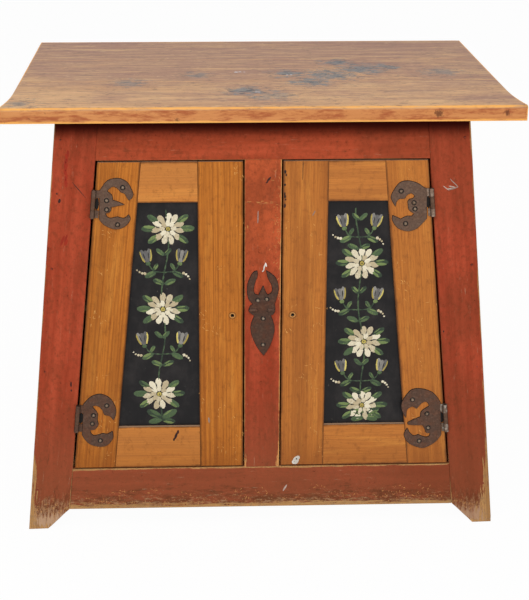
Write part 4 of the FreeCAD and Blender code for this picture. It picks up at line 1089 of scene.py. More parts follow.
@dataclass
class Plate:
    """A forged plate cut to an outline, with hammered face and softened rim.

    The outline's strokes meet at its sharp points. Cuts every cell_mm let the face be hammered. Each boss
    is a raised place, given by its middle, half width, half height and rise.
    """

    strokes: Sequence[Sequence[Point]]
    thick_mm: float = 2.0
    rim_mm: float = 0.5
    hammer_mm: float = 0.25
    cell_mm: float = 4.0
    bosses: Sequence[tuple[float, ...]] = ()
    grow_mm: float = 0.0

    def shape(self) -> bmesh.types.BMesh:
        """Makes the plate flat: x across, y up, z out of its seat.

        Returns:
            The plate.
        """
        bm = bmesh.new()
        verts = [bm.verts.new((p.x * MM, p.y * MM, 0)) for p in outline(self.strokes, self.grow_mm)]
        face = bm.faces.new(verts)
        face.normal_update()
        if face.normal.z > 0:
            face.normal_flip()
        made = bmesh.ops.extrude_face_region(bm, geom=[face])["geom"]
        upper = [g for g in made if isinstance(g, bmesh.types.BMVert)]
        bmesh.ops.translate(bm, verts=upper, vec=(0, 0, self.thick_mm * MM))
        bmesh.ops.recalc_face_normals(bm, faces=bm.faces[:])
        rim = [e for e in bm.edges if all(v.co.z > self.thick_mm * MM / 2 for v in e.verts)]
        bmesh.ops.bevel(bm, geom=rim, offset=self.rim_mm * MM, segments=2, profile=0.5, affect="EDGES")
        for normal in (Vector((1, 0, 0)), Vector((0, 1, 0))):
            reach = [v.co.dot(normal) for v in bm.verts]
            slice_across(bm, normal, min(reach), max(reach), self.cell_mm * MM)
        bmesh.ops.triangulate(bm, faces=[f for f in bm.faces if len(f.verts) > 4])
        # The hammer marks are about 6 mm wide.
        for vert in bm.verts:
            if vert.co.z > self.thick_mm * MM / 2:
                vert.co.z -= self.hammer_mm * MM * (0.5 + noise.noise(vert.co * 160))
                vert.co.z += self.raised(vert.co.x / MM, vert.co.y / MM) * MM
        return bm

    def raised(self, across: float, up: float) -> float:
        """Measures how far the bosses stand out at a place.

        Args:
            across: The place across, in millimetres.
            up: Its height, in millimetres.

        Returns:
            The rise in millimetres.
        """
        rise = 0.0
        for x, y, wide, tall, high in self.bosses:
            rise += high * math.sqrt(max(0.0, 1 - ((across - x) / wide) ** 4 - ((up - y) / tall) ** 2))
        return rise


def seat(bm: bmesh.types.BMesh, placed: Placer) -> None:
    """Sets a flat plate in its place and turns its faces outwards.

    Args:
        bm: The plate: x across, y up, z out of its seat.
        placed: Turns the plate's lengths into a place in the frame.
    """
    for vert in bm.verts:
        vert.co = placed(*vert.co)
    bmesh.ops.recalc_face_normals(bm, faces=bm.faces[:])


@dataclass
class ShadeAndGrimeBed:
    """A dark film a little wider than a plate's outline: painted shade round the plate, with the dirt that gathers
    there.
    """

    film_mm: float = 0.22
    reach_mm: float = 0.8
    rim_mm: float = 0.05
    cell_mm: float = 6.0

    def build(
        self, name: str, strokes: Sequence[Sequence[Point]], placed: Placer, body: str, slot: str
    ) -> None:
        """Lays the film under a plate.

        Args:
            name: The piece's name.
            strokes: The plate's outline.
            placed: Turns the plate's lengths into a place in the frame.
            body: The body that carries it.
            slot: The record's material slot, handed on to publish.
        """
        bm = Plate(strokes, self.film_mm, self.rim_mm, 0.0, self.cell_mm, grow_mm=self.reach_mm).shape()
        seat(bm, placed)
        publish(name, finish_mesh(bm, name, Paint.GREASE.value.material()), body, slot)


@dataclass
class Hinge:
    """One butterfly hinge plate with its two rolled lugs and four nails.

    Lengths run in the hinge's own frame: reach away from the pin, rise along it. The pin's middle is at
    height_mm above the floor. Half the length of the two lugs together is lug_mm, and half that of the
    frame leaf's knuckle between them is knuckle_mm. A lug's strap runs under the plate by lap_mm.
    """

    side: str
    level: str
    height_mm: float
    lug_mm: float
    strokes: Sequence[Sequence[Point]]
    nails: Sequence[Point]
    iron: ForgedIron
    lug_iron: ForgedIron = IRON
    knuckle_mm: float = 12.3
    barrel_mm: float = 4.55
    strap_mm: float = 2.0
    turns: int = 18
    roll_degrees: float = 290.0
    lap_mm: float = 0.6

    def sign(self) -> int:
        """Returns -1 on the left, 1 on the right."""
        return -1 if self.side == "left" else 1

    def pin(self) -> Vector:
        """Finds the middle of the pin on the slanted hinge axis.

        Returns:
            The place in the frame.
        """
        start = Vector(HINGE["pos_m"])
        height = self.height_mm * MM
        return Vector((self.sign() * (abs(start.x) - SPLAY * (height - start.z)), start.y, height))

    def placed(self, reach: float, rise: float, out: float) -> Vector:
        """Turns hinge lengths into a place.

        Args:
            reach: Distance from the pin towards the door's middle.
            rise: Distance along the pin, upwards.
            out: Distance in front of the door's face.

        Returns:
            The place in the frame.
        """
        pin = self.pin()
        inward = reach * math.cos(TILT) + rise * math.sin(TILT)
        height = pin.z - reach * math.sin(TILT) + rise * math.cos(TILT)
        return Vector((pin.x - self.sign() * inward, DOOR_FRONT - out, height))

    def lug(self, bm: bmesh.types.BMesh, low: float, high: float, meet: float) -> None:
        """Adds one lug: a strap rolled round the pin.

        Args:
            bm: The shape to add it to.
            low: Its lower end along the pin.
            high: Its upper end.
            meet: Reach at which the strap runs under the plate.
        """
        outer, inner = self.barrel_mm, self.barrel_mm - self.strap_mm
        roll = [math.radians(self.roll_degrees) * i / self.turns for i in range(self.turns + 1)]
        profile = [(-math.sin(a) * outer, outer - math.cos(a) * outer) for a in roll]
        profile += [(-math.sin(a) * inner, outer - math.cos(a) * inner) for a in reversed(roll)]
        profile += [(meet, self.strap_mm), (meet, 0.0)]
        rings = []
        for rise in (low, high):
            places = [self.placed(r * MM, rise * MM, o * MM) for r, o in profile]
            rings.append([bm.verts.new(p) for p in places])
        for first, second in zip(range(len(profile)), [*range(1, len(profile)), 0]):
            wall = bm.faces.new((rings[0][first], rings[0][second], rings[1][second], rings[1][first]))
            wall.material_index = 1
        for ring in rings:
            bm.faces.new(ring).material_index = 1

    def build(self) -> None:
        """Builds the plate and its lugs as one piece, and the dark film under it: painted shade round the plate,
        with the grime that gathers there.
        """
        bm = Plate(self.strokes, self.strap_mm).shape()
        seat(bm, self.placed)
        for low, high in ((self.knuckle_mm, self.lug_mm), (-self.lug_mm, -self.knuckle_mm)):
            self.lug(bm, low, high, self.strokes[0][0][0] + self.lap_mm)
        bmesh.ops.recalc_face_normals(bm, faces=bm.faces[:])
        node = f"{self.side}_{self.level}_hinge_plate"
        mesh = finish_mesh(bm, node + "_forged", self.iron.material())
        mesh.materials.append(self.lug_iron.material())
        door = f"{self.side}_door"
        publish(node + "_forged", mesh, door, self.iron.slot, [node])
        # The dark film under the plate is painted shade, with grime.
        ShadeAndGrimeBed().build(node + "_grime", self.strokes, self.placed, door, Paint.GREASE.value.slot)

    def nail_places(self) -> list[Vector]:
        """Returns where the nails stand, on the plate's face."""
        return [self.placed(reach * MM, rise * MM, self.strap_mm * MM) for reach, rise in self.nails]


HINGES = [
    Hinge(
        "left", "upper", 685.3, 27.0,
        [
            [(11, 27), (20, 43), (30, 50.7), (45, 53.2), (60, 47.2), (71.5, 29.2), (72, 20.2), (66, 13)],
            [(62, 18.2), (57, 25.2), (50, 27.2)],
            [(43, 34.2), (35, 37.2), (27.5, 32.2), (24, 26.7)],
            [(33, 20.2), (36, 10.2)],
            [(45, 8.2), (58, 3.7)],
            [(45, 0.2), (33, -3.8)],
            [(34, -7.8), (32, -12.8), (24, -16.8)],
            [(28, -23.3), (35, -25), (47, -21.3)],
            [(55, -22.8), (61, -22), (68, -15.3)],
            [(71, -24.8), (62, -38.8), (45, -45.8), (25, -39.8), (11, -27)],
        ],
        [(52.7, 36.8), (24.7, 8.7), (26.2, -8.8), (48.6, -36.3)], GREYED, GREYED,
    ),
    Hinge(
        "left", "lower", 245.9, 28.4,
        [
            [(10, 31), (20, 44.6), (30, 52), (43, 55), (60, 48), (72, 30), (74, 15), (70.5, 1.8)],
            [(64, 9), (52, 11.8)],
            [(47.5, 21.5), (40.5, 28), (32, 30), (27, 27)],
            [(38, 14), (39, -1)],
            [(41.5, -11), (36, -21), (26.5, -24)],
            [(28, -29.5), (35, -35), (48, -31)],
            [(53, -29), (61, -29.6), (70.5, -22.4)],
            [(72, -38), (62, -54), (47, -58.3), (30, -55), (18.7, -46), (10, -33.3)],
        ],
        [(55.6, 32.3), (31, 9.1), (30, -9.1), (48.2, -44.4)], RUSTY, RUSTY,
    ),
    Hinge(
        "right", "upper", 683.8, 27.4,
        [
            [
                (8, 27), (13.6, 29.4), (25.5, 39.4), (44.5, 45.9), (60, 42), (74, 23.6), (75.5, 13.3),
                (69.3, -1.7),
            ],
            [(67, 7.2), (61, 12.4), (51, 12.2)],
            [(46, 18.6), (38, 21), (32, 15.7), (34, 10.7)],
            [(44, 7.8), (45.3, -0.6), (44, -11), (35, -19.5)],
            [(40, -24), (50, -23.4), (61, -27.8)],
            [(67, -24), (75.9, -18.8)],
            [(76.5, -28.8), (68, -44), (52.7, -52.2), (40, -52.2), (28, -46.8), (8, -28)],
        ],
        [(56.6, 27.5), (34.1, 2), (33, -10.3), (52.7, -37.3)], GREYED, STEEL,
    ),
    Hinge(
        "right", "lower", 237.3, 29.4,
        [
            [(8, 33.7), (14, 45), (24.5, 57.9), (45, 67), (65, 65.5), (83, 42.7), (84.5, 25.7), (77.8, 7.4)],
            [(75, 24), (64.4, 30.7), (55.5, 25.2)],
            [(43, 36.9), (34, 37), (30, 28.2)],
            [(46, 18.3), (49.4, 6.3)],
            [(73, -1.9), (74.5, -7.8)],
            [(60, -10.5), (46, -12.3)],
            [(42.3, -20.3), (39, -30), (31.6, -31)],
            [(34, -37.5), (43, -39), (56.3, -31.9)],
            [(64.3, -33.8), (72, -27), (77, -15)],
            [(84, -30), (75, -49), (51.4, -62), (35.2, -58.7), (20, -49.3), (8, -34)],
        ],
        [(62.6, 45.7), (36, 12.3), (35.5, -18.7), (55, -45.7)], RUSTY, SPLASHED,
    ),
]


@dataclass
class Ornament:
    """The forged plate on the centre stile: two horns, a spike between them, ears and a leaf below.

    Its outline runs clockwise from the left horn's tip. The bosses are its two rolled ears, the swelling
    between them and the leaf's rib.
    """

    shift_mm: float = 2.3
    thick_mm: float = 2.5
    rim_mm: float = 0.6
    hammer_mm: float = 0.45
    cell_mm: float = 1.5
    bosses: tuple[tuple[float, ...], ...] = (
        (-20.5, 469, 10, 3.4, 3.2), (14, 469, 9, 3.4, 3.2), (-3.5, 487, 12, 4, 0.8), (-1, 425, 3, 42, 0.7),
    )
    nails: tuple[Point, ...] = ((-11.5, 489.5), (5.7, 491.5), (-1.2, 452), (-1, 398))
    strokes: tuple[tuple[Point, ...], ...] = (
        ((-13, 549.5), (-21.3, 545), (-30, 526), (-31.6, 508), (-28.8, 492), (-20.9, 481)),
        ((-26, 477), (-28.6, 467.5), (-24, 462), (-18.2, 457)),
        ((-24.5, 438), (-23, 419), (-13, 394), (0.2, 374.5)),
        ((11, 392.5), (19, 417), (20, 436), (13.2, 458)),
        ((18.5, 461), (21.5, 470), (20.4, 481)),
        ((25.5, 498), (27.7, 512), (25, 528), (17.9, 539.5), (4.5, 549.5)),
        ((8.3, 534), (15.3, 519), (15.9, 508), (10, 501), (5.8, 501)),
        ((3.2, 506.5), (-1.7, 519)),
        ((-4.5, 512), (-9.8, 500)),
        ((-17, 502), (-19.9, 511), (-16.8, 526.8), (-12.8, 538), (-13, 549.5)),
    )

    def placed(self, across: float, up: float, out: float) -> Vector:
        """Turns lengths on the stile's face into a place."""
        return Vector((across + self.shift_mm * MM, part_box("centre_stile")[0].y - out, up))

    def nail_places(self) -> list[Vector]:
        """Returns where the nails stand, on the plate's face."""
        return [self.placed(x * MM, z * MM, self.thick_mm * MM) for x, z in self.nails]

    def build(self) -> None:
        """Builds the plate and the dark film under it: painted shade round the plate, with the grime that gathers
        there.
        """
        made = (self.strokes, self.thick_mm, self.rim_mm, self.hammer_mm, self.cell_mm, self.bosses)
        bm = Plate(*made).shape()
        seat(bm, self.placed)
        mesh = finish_mesh(bm, "ornament_forged", IRON.material())
        publish("ornament_forged", mesh, "root", IRON.slot, ["ornament_plate"])
        ShadeAndGrimeBed().build("ornament_shade_and_grime", self.strokes, self.placed, "root", RED.slot)
        LOG.info("ornament")


def open_tree(name: str, inputs: dict[str, str]) -> tuple[Tree, list[bpy.types.NodeSocket]]:
    """Starts a geometry tree that takes geometry and some named inputs and gives geometry.

    Args:
        name: The tree's name.
        inputs: The kind of each further input, such as Float, by its name.

    Returns:
        The tree and the sockets that its inputs arrive at, the geometry's first.
    """
    tree = bpy.data.node_groups.new(name, "GeometryNodeTree")
    for label, kind in {"Geometry": "Geometry", **inputs}.items():
        tree.interface.new_socket(label, in_out="INPUT", socket_type="NodeSocket" + kind)
    tree.interface.new_socket("Geometry", in_out="OUTPUT", socket_type="NodeSocketGeometry")
    inlet = add(tree, "NodeGroupInput").node
    return tree, list(inlet.outputs)[:len(inputs) + 1]


def run_tree(points: bpy.types.Mesh, tree: Tree, name: str, values: dict[str, Any]) -> bpy.types.Mesh:
    """Runs a geometry tree on some points and keeps the result as a plain mesh.

    Args:
        points: The tree's input.
        tree: The geometry tree.
        name: The new mesh's name.
        values: A value for each named input.

    Returns:
        The finished mesh.
    """
    holder = show(name + "_holder", points)
    modifier = holder.modifiers.new(name, "NODES")
    modifier.node_group = tree
    sockets = {s.name: s.identifier for s in tree.interface.items_tree if s.in_out == "INPUT"}
    for label, value in values.items():
        modifier[sockets[label]] = value
    bpy.context.view_layer.update()
    graph = bpy.context.evaluated_depsgraph_get()
    mesh = bpy.data.meshes.new_from_object(holder.evaluated_get(graph))
    mesh.name = name
    holder.modifiers.remove(modifier)
    bpy.data.objects.remove(holder)
    return mesh


@dataclass
class Nails:
    """Domed nail heads, hammered a little out of round, set by a node tree.

    The hammer has pushed a head about by dent_mm: across, in depth and in height.
    """

    head_mm: float = 7.4
    dome_mm: float = 2.6
    seed: int = 4
    dent_mm: tuple[float, float, float] = (1.6, 0.4, 1.6)

    def tree(self) -> Tree:
        """Builds the tree that sets a head on every point.

        Returns:
            The tree.
        """
        inputs = {"Head": "Float", "Dome": "Float", "Seed": "Int", "Material": "Material"}
        tree, (points, head, dome, seed, material) = open_tree("nail heads", inputs)
        radius = add(tree, MATH, {0: head, 1: 0.5}, operation="MULTIPLY")
        ball = add(tree, "GeometryNodeMeshUVSphere", {"Segments": 14, "Rings": 8, "Radius": 1.0})
        size = add(tree, "ShaderNodeCombineXYZ", {0: radius, 1: dome, 2: radius})
        ball = add(tree, "GeometryNodeTransform", {"Geometry": ball, "Scale": size})
        turn = add(tree, "FunctionNodeRandomValue", {"Max": 6.28, "Seed": seed}, data_type="FLOAT")
        spin = add(tree, "ShaderNodeCombineXYZ", {1: turn})
        set_on = {"Points": points, "Instance": ball, "Rotation": spin}
        heads = add(tree, "GeometryNodeInstanceOnPoints", set_on)
        heads = add(tree, "GeometryNodeRealizeInstances", {0: heads})
        # Dents about 3 mm wide.
        dent = add(tree, "ShaderNodeTexNoise", {"Scale": 330.0, "Detail": 1.0}).node.outputs["Color"]
        dent = add(tree, VECTOR_MATH, {0: dent, 1: (0.5, 0.5, 0.5)}, operation="SUBTRACT")
        depth = tuple(d * MM for d in self.dent_mm)
        dent = add(tree, VECTOR_MATH, {0: dent, 1: depth}, operation="MULTIPLY")
        heads = add(tree, "GeometryNodeSetPosition", {"Geometry": heads, "Offset": dent})
        heads = add(tree, "GeometryNodeSetMaterial", {"Geometry": heads, "Material": material})
        add(tree, "NodeGroupOutput", {"Geometry": heads})
        return tree

    def build(self, name: str, places: Sequence[Vector], body: str, replaced: Sequence[str]) -> None:
        """Sets the heads and shows them as one piece.

        Args:
            name: The piece's name.
            places: Where each head stands.
            body: The body that carries them.
            replaced: Nodes that they stand for.
        """
        points = bpy.data.meshes.new(name + "_points")
        points.from_pydata([tuple(p) for p in places], [], [])
        values = {"Head": self.head_mm * MM, "Dome": self.dome_mm * MM, "Seed": self.seed}
        values["Material"] = NAIL.material()
        publish(name, run_tree(points, self.tree(), name, values), body, NAIL.slot, replaced)


@dataclass
class Ironwork:
    """All the iron: hinges, ornament, pins, leaves and nails. Listed nodes keep their own shape."""

    bare_nodes: tuple[str, ...] = (
        "left_upper_frame_leaf", "left_lower_frame_leaf", "right_upper_frame_leaf", "right_lower_frame_leaf",
        "left_hinge_pins", "right_hinge_pins",
    )
    nail_nodes: tuple[str, ...] = (
        "left_leaf_nails", "right_leaf_nails", "back_nails", "floor_nails", "batten_nails",
        "left_cleat_nails", "right_cleat_nails",
    )
    slot_reach_mm: float = 7.0
    slot_width_mm: float = 8.0
    ring_mm: float = 10.4

    def ring_nails(self, body: str, places: Sequence[Vector]) -> None:
        """Lays a dark ring round each nail head: painted shade round the dome, with the grime that gathers there.

        Args:
            body: The body that carries the nails.
            places: Where the heads stand.
        """
        rings = Dabs(min(p.y for p in places), 0.3, 6)
        for place in places:
            rings.dab(Paint.GREASE, place.x, place.z, self.ring_mm * MM, self.ring_mm * MM)
        rings.build(f"{body}_nail_rings", body, waver_mm=0.9)

    def darken_slots(self, side: str) -> None:
        """Lays near-black painted shade on the door in the slot beside each hinge's middle knuckle, where the slot
        lies deep and grime gathers.

        Args:
            side: left or right.
        """
        shade_and_grime = Dabs(DOOR_FRONT, 0.15, 5)
        for hinge in HINGES:
            if hinge.side == side:
                middle = hinge.placed(self.slot_reach_mm * MM, 0.0, 0.0)
                tall, wide = 2 * hinge.knuckle_mm * MM, self.slot_width_mm * MM
                shade_and_grime.dab(Paint.GREASE, middle.x, middle.z, tall, wide, -hinge.sign() * TILT)
        shade_and_grime.build(f"{side}_hinge_grease", f"{side}_door", waver_mm=0.8)

    def build(self) -> None:
        """Builds the plates and nails, and dresses the nodes that keep their own shape."""
        for hinge in HINGES:
            hinge.build()
        for side in ("left", "right"):
            places = [p for hinge in HINGES if hinge.side == side for p in hinge.nail_places()]
            self.ring_nails(side + "_door", places)
            Nails().build(f"{side}_door_nail_heads", places, f"{side}_door", [f"{side}_door_nails"])
            self.darken_slots(side)
        LOG.info("hinges")
        ornament = Ornament()
        ornament.build()
        self.ring_nails("root", ornament.nail_places())
        Nails(seed=9).build("ornament_nail_heads", ornament.nail_places(), "root", ["ornament_nails"])
        for nodes, finish in ((self.bare_nodes, BARREL), (self.nail_nodes, NAIL), (("frame_brads",), COATED)):
            for node in nodes:
                data = frame["nodes"][node].data
                data.materials.clear()
                data.materials.append(finish.material())
        LOG.info("ironwork")


# ---------------------------------------------------------------- painting and marks


@dataclass(frozen=True)
class BrushPaint(Finish):
    """A dab of artist's oil paint: thick in the middle, streaked by the brush, dulled and dusty with age."""

    slot: str = "black_panel_paint"
    light: str = "#e9dfc0"
    dark: str = "#b9a987"
    rough: float = 0.5
    gloss: float = 0.3

    def build(self) -> None:
        """Builds the paint, each dab in its own tone."""
        tree, shader, place = self.start()
        tone = add(tree, "ShaderNodeAttribute", attribute_name="tone").node.outputs["Fac"]
        brush = spread(tree, place, (420, 420, 260), 3, 0.6)
        mixed = add(tree, MATH, {0: tone, 1: 0.7, 2: brush}, operation="MULTIPLY_ADD")
        colour = lay(tree, self.light, self.dark, mixed, 0.55, 1.15)
        self.fill(shader, colour, brush, (0.4, 0.3), self.rough, self.gloss)


class Paint(Enum):
    """The paints and stains that dabs are made of."""

    CREAM = BrushPaint("cream oil paint", light="#e8dfc4", dark="#bdad8b")
    LEAF = BrushPaint("leaf-green oil paint", light="#74864f", dark="#475c3c")
    SHADE = BrushPaint("dark green oil paint", light="#4b5f40", dark="#2b3a2a")
    GREY = BrushPaint("slate-grey oil paint", light="#8f8b84", dark="#5f5d5c")
    YELLOW = BrushPaint("straw-yellow oil paint", light="#dccb6e", dark="#a8964a")
    INK = BrushPaint("lamp-black oil paint", light="#262525", dark="#171717")
    GRIME = BrushPaint("old grime", "red_paint", light="#43231b", dark="#2a1714", rough=0.8)
    CHALK = BrushPaint("pale scrape", "red_paint", light="#b9a598", dark="#8d766b", rough=0.8)
    STRAW = BrushPaint("scratch down to the wood", "red_paint", light="#c98a4c", dark="#a2603a", rough=0.8)
    FRESH = BrushPaint("less faded red distemper", "red_paint", light="#9c2c14", dark="#8d2712", rough=0.8)
    RUB = BrushPaint("scratch in the oiled pine", "honey_pine", light="#dda257", dark="#c08240", rough=0.7)
    # Near-black painted shade, with grime: laid round nail heads, in the hinge slots and under the plates.
    GREASE = BrushPaint("old black grease", "honey_pine", light="#17110d", dark="#0f0b09", rough=0.7)
    SPILL = BrushPaint("spilt white paint", "honey_pine", light="#f2eee6", dark="#c9c2b6")


@dataclass
class Dab:
    """One stroke of the brush, in metres: where its middle is, how long and wide it is, and how it leans."""

    x: float
    z: float
    length: float
    width: float
    lean: float = 0.0
    lift: float = 0.0


class Dabs:
    """Brush strokes on an upright face, raised from it by a node tree."""

    def __init__(self, front: float, thick_mm: float, seed: int) -> None:
        """Starts with no strokes.

        Args:
            front: Depth of the face that they lie on.
            thick_mm: Thickness of a stroke.
            seed: Seed of the strokes' tones and of their hand-made edges.
        """
        self.front = front
        self.thick_mm = thick_mm
        self.seed = seed
        self.strokes: dict[Paint, list[Dab]] = {}

    def dab(self, paint: Paint, x: float, z: float, length: float, width: float, lean: float = 0.0,
            lift: float = 0.0) -> None:
        """Adds one stroke.

        Args:
            paint: What it is painted with.
            x: Across place of its middle.
            z: Height of its middle.
            length: Its length.
            width: Its width.
            lean: How far its upper end leans to the right, in radians.
            lift: How far it lies above the first coat.
        """
        self.strokes.setdefault(paint, []).append(Dab(x, z, length, width, lean, lift))

    def tree(self) -> Tree:
        """Builds the tree that raises a low, many-sided mound on every point.

        Returns:
            The tree.
        """
        inputs = {"Waver": "Float", "Seed": "Int", "Material": "Material"}
        tree, (points, waver, seed, material) = open_tree("brush strokes", inputs)
        mound = {"Vertices": 10, "Radius Top": 0.62, "Radius Bottom": 1.0, "Depth": 1.0}
        mound = add(tree, "GeometryNodeMeshCone", mound)
        mound = add(tree, "GeometryNodeTransform", {"Geometry": mound, "Rotation": (math.pi / 2, 0.0, 0.0)})
        kind = "GeometryNodeInputNamedAttribute"
        size, turn = (add(tree, kind, {"Name": n}, data_type="FLOAT_VECTOR") for n in ("size", "turn"))
        set_on = {"Points": points, "Instance": mound, "Rotation": turn, "Scale": size}
        mounds = add(tree, "GeometryNodeInstanceOnPoints", set_on)
        tone = add(tree, "FunctionNodeRandomValue", {"Seed": seed}, data_type="FLOAT")
        stored = {"Geometry": mounds, "Name": "tone", "Value": tone}
        mounds = add(tree, "GeometryNodeStoreNamedAttribute", stored, data_type="FLOAT", domain="INSTANCE")
        mounds = add(tree, "GeometryNodeRealizeInstances", {0: mounds})
        shake = add(tree, "ShaderNodeTexNoise", {"Scale": 260.0, "Detail": 1.0}).node.outputs["Color"]
        shake = add(tree, VECTOR_MATH, {0: shake, 1: (0.5, 0.5, 0.5)}, operation="SUBTRACT")
        shake = add(tree, VECTOR_MATH, {0: shake, 1: (1.0, 0.0, 1.0)}, operation="MULTIPLY")
        shake = add(tree, VECTOR_MATH, {0: shake, 1: waver}, operation="SCALE")
        mounds = add(tree, "GeometryNodeSetPosition", {"Geometry": mounds, "Offset": shake})
        mounds = add(tree, "GeometryNodeSetMaterial", {"Geometry": mounds, "Material": material})
        add(tree, "NodeGroupOutput", {"Geometry": mounds})
        return tree

    def build(self, name: str, body: str, slot: str | None = None, waver_mm: float = 2.2) -> None:
        """Raises all the strokes, one piece for each paint.

        Args:
            name: Start of the pieces' names.
            body: The body that carries them.
            slot: Material slot, or none for the paint's own.
            waver_mm: How unsteady the strokes' edges are.
        """
        tree = self.tree()
        for paint, dabs in self.strokes.items():
            label = f"{name}_{paint.name.lower()}"
            points = bpy.data.meshes.new(label + "_points")
            points.from_pydata([(d.x, self.front - d.lift, d.z) for d in dabs], [], [])
            size = points.attributes.new("size", "FLOAT_VECTOR", "POINT")
            turn = points.attributes.new("turn", "FLOAT_VECTOR", "POINT")
            for index, dab in enumerate(dabs):
                size.data[index].vector = (dab.width / 2, self.thick_mm * MM, dab.length / 2)
                turn.data[index].vector = (0, dab.lean, 0)
            values = {"Waver": waver_mm * MM, "Seed": self.seed, "Material": paint.value.material()}
            publish(label, run_tree(points, tree, label, values), body, slot or paint.value.slot)


@dataclass
class Panel:
    """The painting on a door's sunk panel: an upright flowering stem with rosettes, tulips and leaves.

    Rosettes are given by the heights of their middles, and tulips by those at which a pair branches off.
    The panel is in sight between two edges, the outer one drawn on down to the floor. Each ring of petals
    has its number, place, length, width and lift.
    """

    side: str
    rosettes_mm: tuple[float, ...]
    tulips_mm: tuple[float, ...]
    petal_turn: float = 0.0
    sight_inner: float = 0.1225
    sight_outer: float = 0.3055
    stem_mm: tuple[int, int] = (236, 676)
    rosette_mm: float = 34.0
    tulip_mm: float = 31.0
    rings: tuple[tuple[float, ...], ...] = ((11, 0.68, 0.60, 0.36, 0.1), (8, 0.36, 0.42, 0.27, 0.35))

    def __post_init__(self) -> None:
        """Finds the panel's face and starts the strokes."""
        self.sign = -1 if self.side == "left" else 1
        self.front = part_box(f"{self.side}_door_panel")[0].y
        self.dabs = Dabs(self.front, 0.45, 3 if self.side == "left" else 8)
        self.random = random.Random(self.side)

    def half(self, z: float) -> float:
        """Half the panel's width in sight at a height."""
        return (self.sight_outer - SPLAY * z - self.sight_inner) / 2

    def middle(self, z: float) -> float:
        """Across place of the panel's middle at a height, with the stem's slow wave."""
        wave = 5 * MM * math.sin(z * 34 + self.petal_turn)
        return self.sign * (self.sight_inner + self.half(z)) + wave

    def line(self, paint: Paint, points: Sequence[Point], width: float) -> None:
        """Paints a line in short strokes.

        Args:
            paint: What it is painted with.
            points: Places that it runs through, in metres.
            width: Its width.
        """
        places = stroke([(x * 1000, z * 1000) for x, z in points], 4)
        for start, end in zip(places, places[1:]):
            run = (end - start) * MM
            middle = (start + end) / 2 * MM
            self.dabs.dab(paint, middle.x, middle.y, run.length * 1.5, width, math.atan2(run.x, run.y))

    def touch(self, paint: Paint, foot: Point, lean: float, size: float, shares: Sequence[float]) -> None:
        """Sets one dab of a leaf or flower.

        Args:
            paint: What it is painted with.
            foot: Where the leaf or flower grows from.
            lean: Which way it grows, in radians to the right of upright.
            size: Its size.
            shares: The dab's place ahead and aside, its length and its width, as shares of the size;
                then how far it leans more, and its lift in millimetres.
        """
        ahead, aside, length, width, more, lift = shares
        across = foot[0] + (math.sin(lean) * ahead + math.cos(lean) * aside) * size
        height = foot[1] + (math.cos(lean) * ahead - math.sin(lean) * aside) * size
        self.dabs.dab(paint, across, height, size * length, size * width, lean + more, lift * MM)

    def leaf(self, x: float, z: float, lean: float, size: float) -> None:
        """Paints an almond leaf: dark body, lighter half and a pale vein.

        Args:
            x: Across place that it grows from.
            z: Height that it grows from.
            lean: Which way it grows.
            size: Its length.
        """
        self.touch(Paint.SHADE, (x, z), lean, size, (0.5, 0.0, 1.0, 0.46, 0.0, 0.05))
        self.touch(Paint.LEAF, (x, z), lean, size, (0.5, 0.09, 0.78, 0.24, 0.06, 0.2))
        self.touch(Paint.LEAF, (x, z), lean, size, (0.46, -0.12, 0.6, 0.12, -0.1, 0.2))

    def spray(self, x: float, z: float, lean: float, count: int = 4) -> None:
        """Paints a row of cream dots that shrink away from a place.

        Args:
            x: Across place that the row starts from.
            z: Its height.
            lean: Which way the row runs.
            count: Number of dots.
        """
        for index in range(count):
            away = (5 + 5.2 * index) * MM
            width = (6.0 - 0.9 * index) * MM
            bend = lean + 0.16 * index
            across, up = x + math.sin(bend) * away, z + math.cos(bend) * away
            self.dabs.dab(Paint.CREAM, across, up, width, width, 0, 0.2 * MM)

    def rosette(self, x: float, z: float, radius: float) -> None:
        """Paints a double rosette: two rings of cream petals, dark gaps and a yellow eye.

        Args:
            x: Across place of its middle.
            z: Height of its middle.
            radius: Its radius.
        """
        for count, away, length, width, lift in self.rings:
            for index in range(count):
                angle = self.petal_turn + math.tau * index / count + self.random.uniform(-0.08, 0.08)
                reach = away * self.random.uniform(0.95, 1.06)
                self.touch(Paint.CREAM, (x, z), angle, radius, (reach, 0.0, length, width, 0.0, lift))
        gaps = self.rings[0][0]
        for index in range(gaps):
            angle = self.petal_turn + math.tau * (index + 0.5) / gaps
            self.touch(Paint.INK, (x, z), angle, radius, (0.56, 0.0, 0.3, 0.06, 0.0, 0.5))
        for paint, width, lift in ((Paint.YELLOW, 0.26, 0.7), (Paint.INK, 0.1, 0.8)):
            self.touch(paint, (x, z), 0.0, radius, (0.0, 0.0, width, width, 0.0, lift))

    def tulip(self, x: float, z: float, lean: float, size: float) -> None:
        """Paints a half-open tulip on its stem's end: grey petals, yellow rims and dark folds.

        Args:
            x: Across place of the stem's end.
            z: Its height.
            lean: Which way the tulip grows.
            size: Its length.
        """
        foot = (x, z)
        for way in (-1, 1):
            self.touch(Paint.YELLOW, foot, lean, size, (0.5, 0.24 * way, 0.8, 0.22, 0.2 * way, 0.05))
            self.touch(Paint.GREY, foot, lean, size, (0.53, 0.15 * way, 0.9, 0.3, 0.24 * way, 0.2))
        self.touch(Paint.GREY, foot, lean, size, (0.45, 0.0, 0.9, 0.34, 0.0, 0.35))
        for way in (-1, 1):
            self.touch(Paint.INK, foot, lean, size, (0.5, 0.13 * way, 0.5, 0.06, 0.16 * way, 0.6))
        self.touch(Paint.LEAF, foot, lean, size, (0.0, 0.0, 0.26, 0.3, 0.0, 0.4))

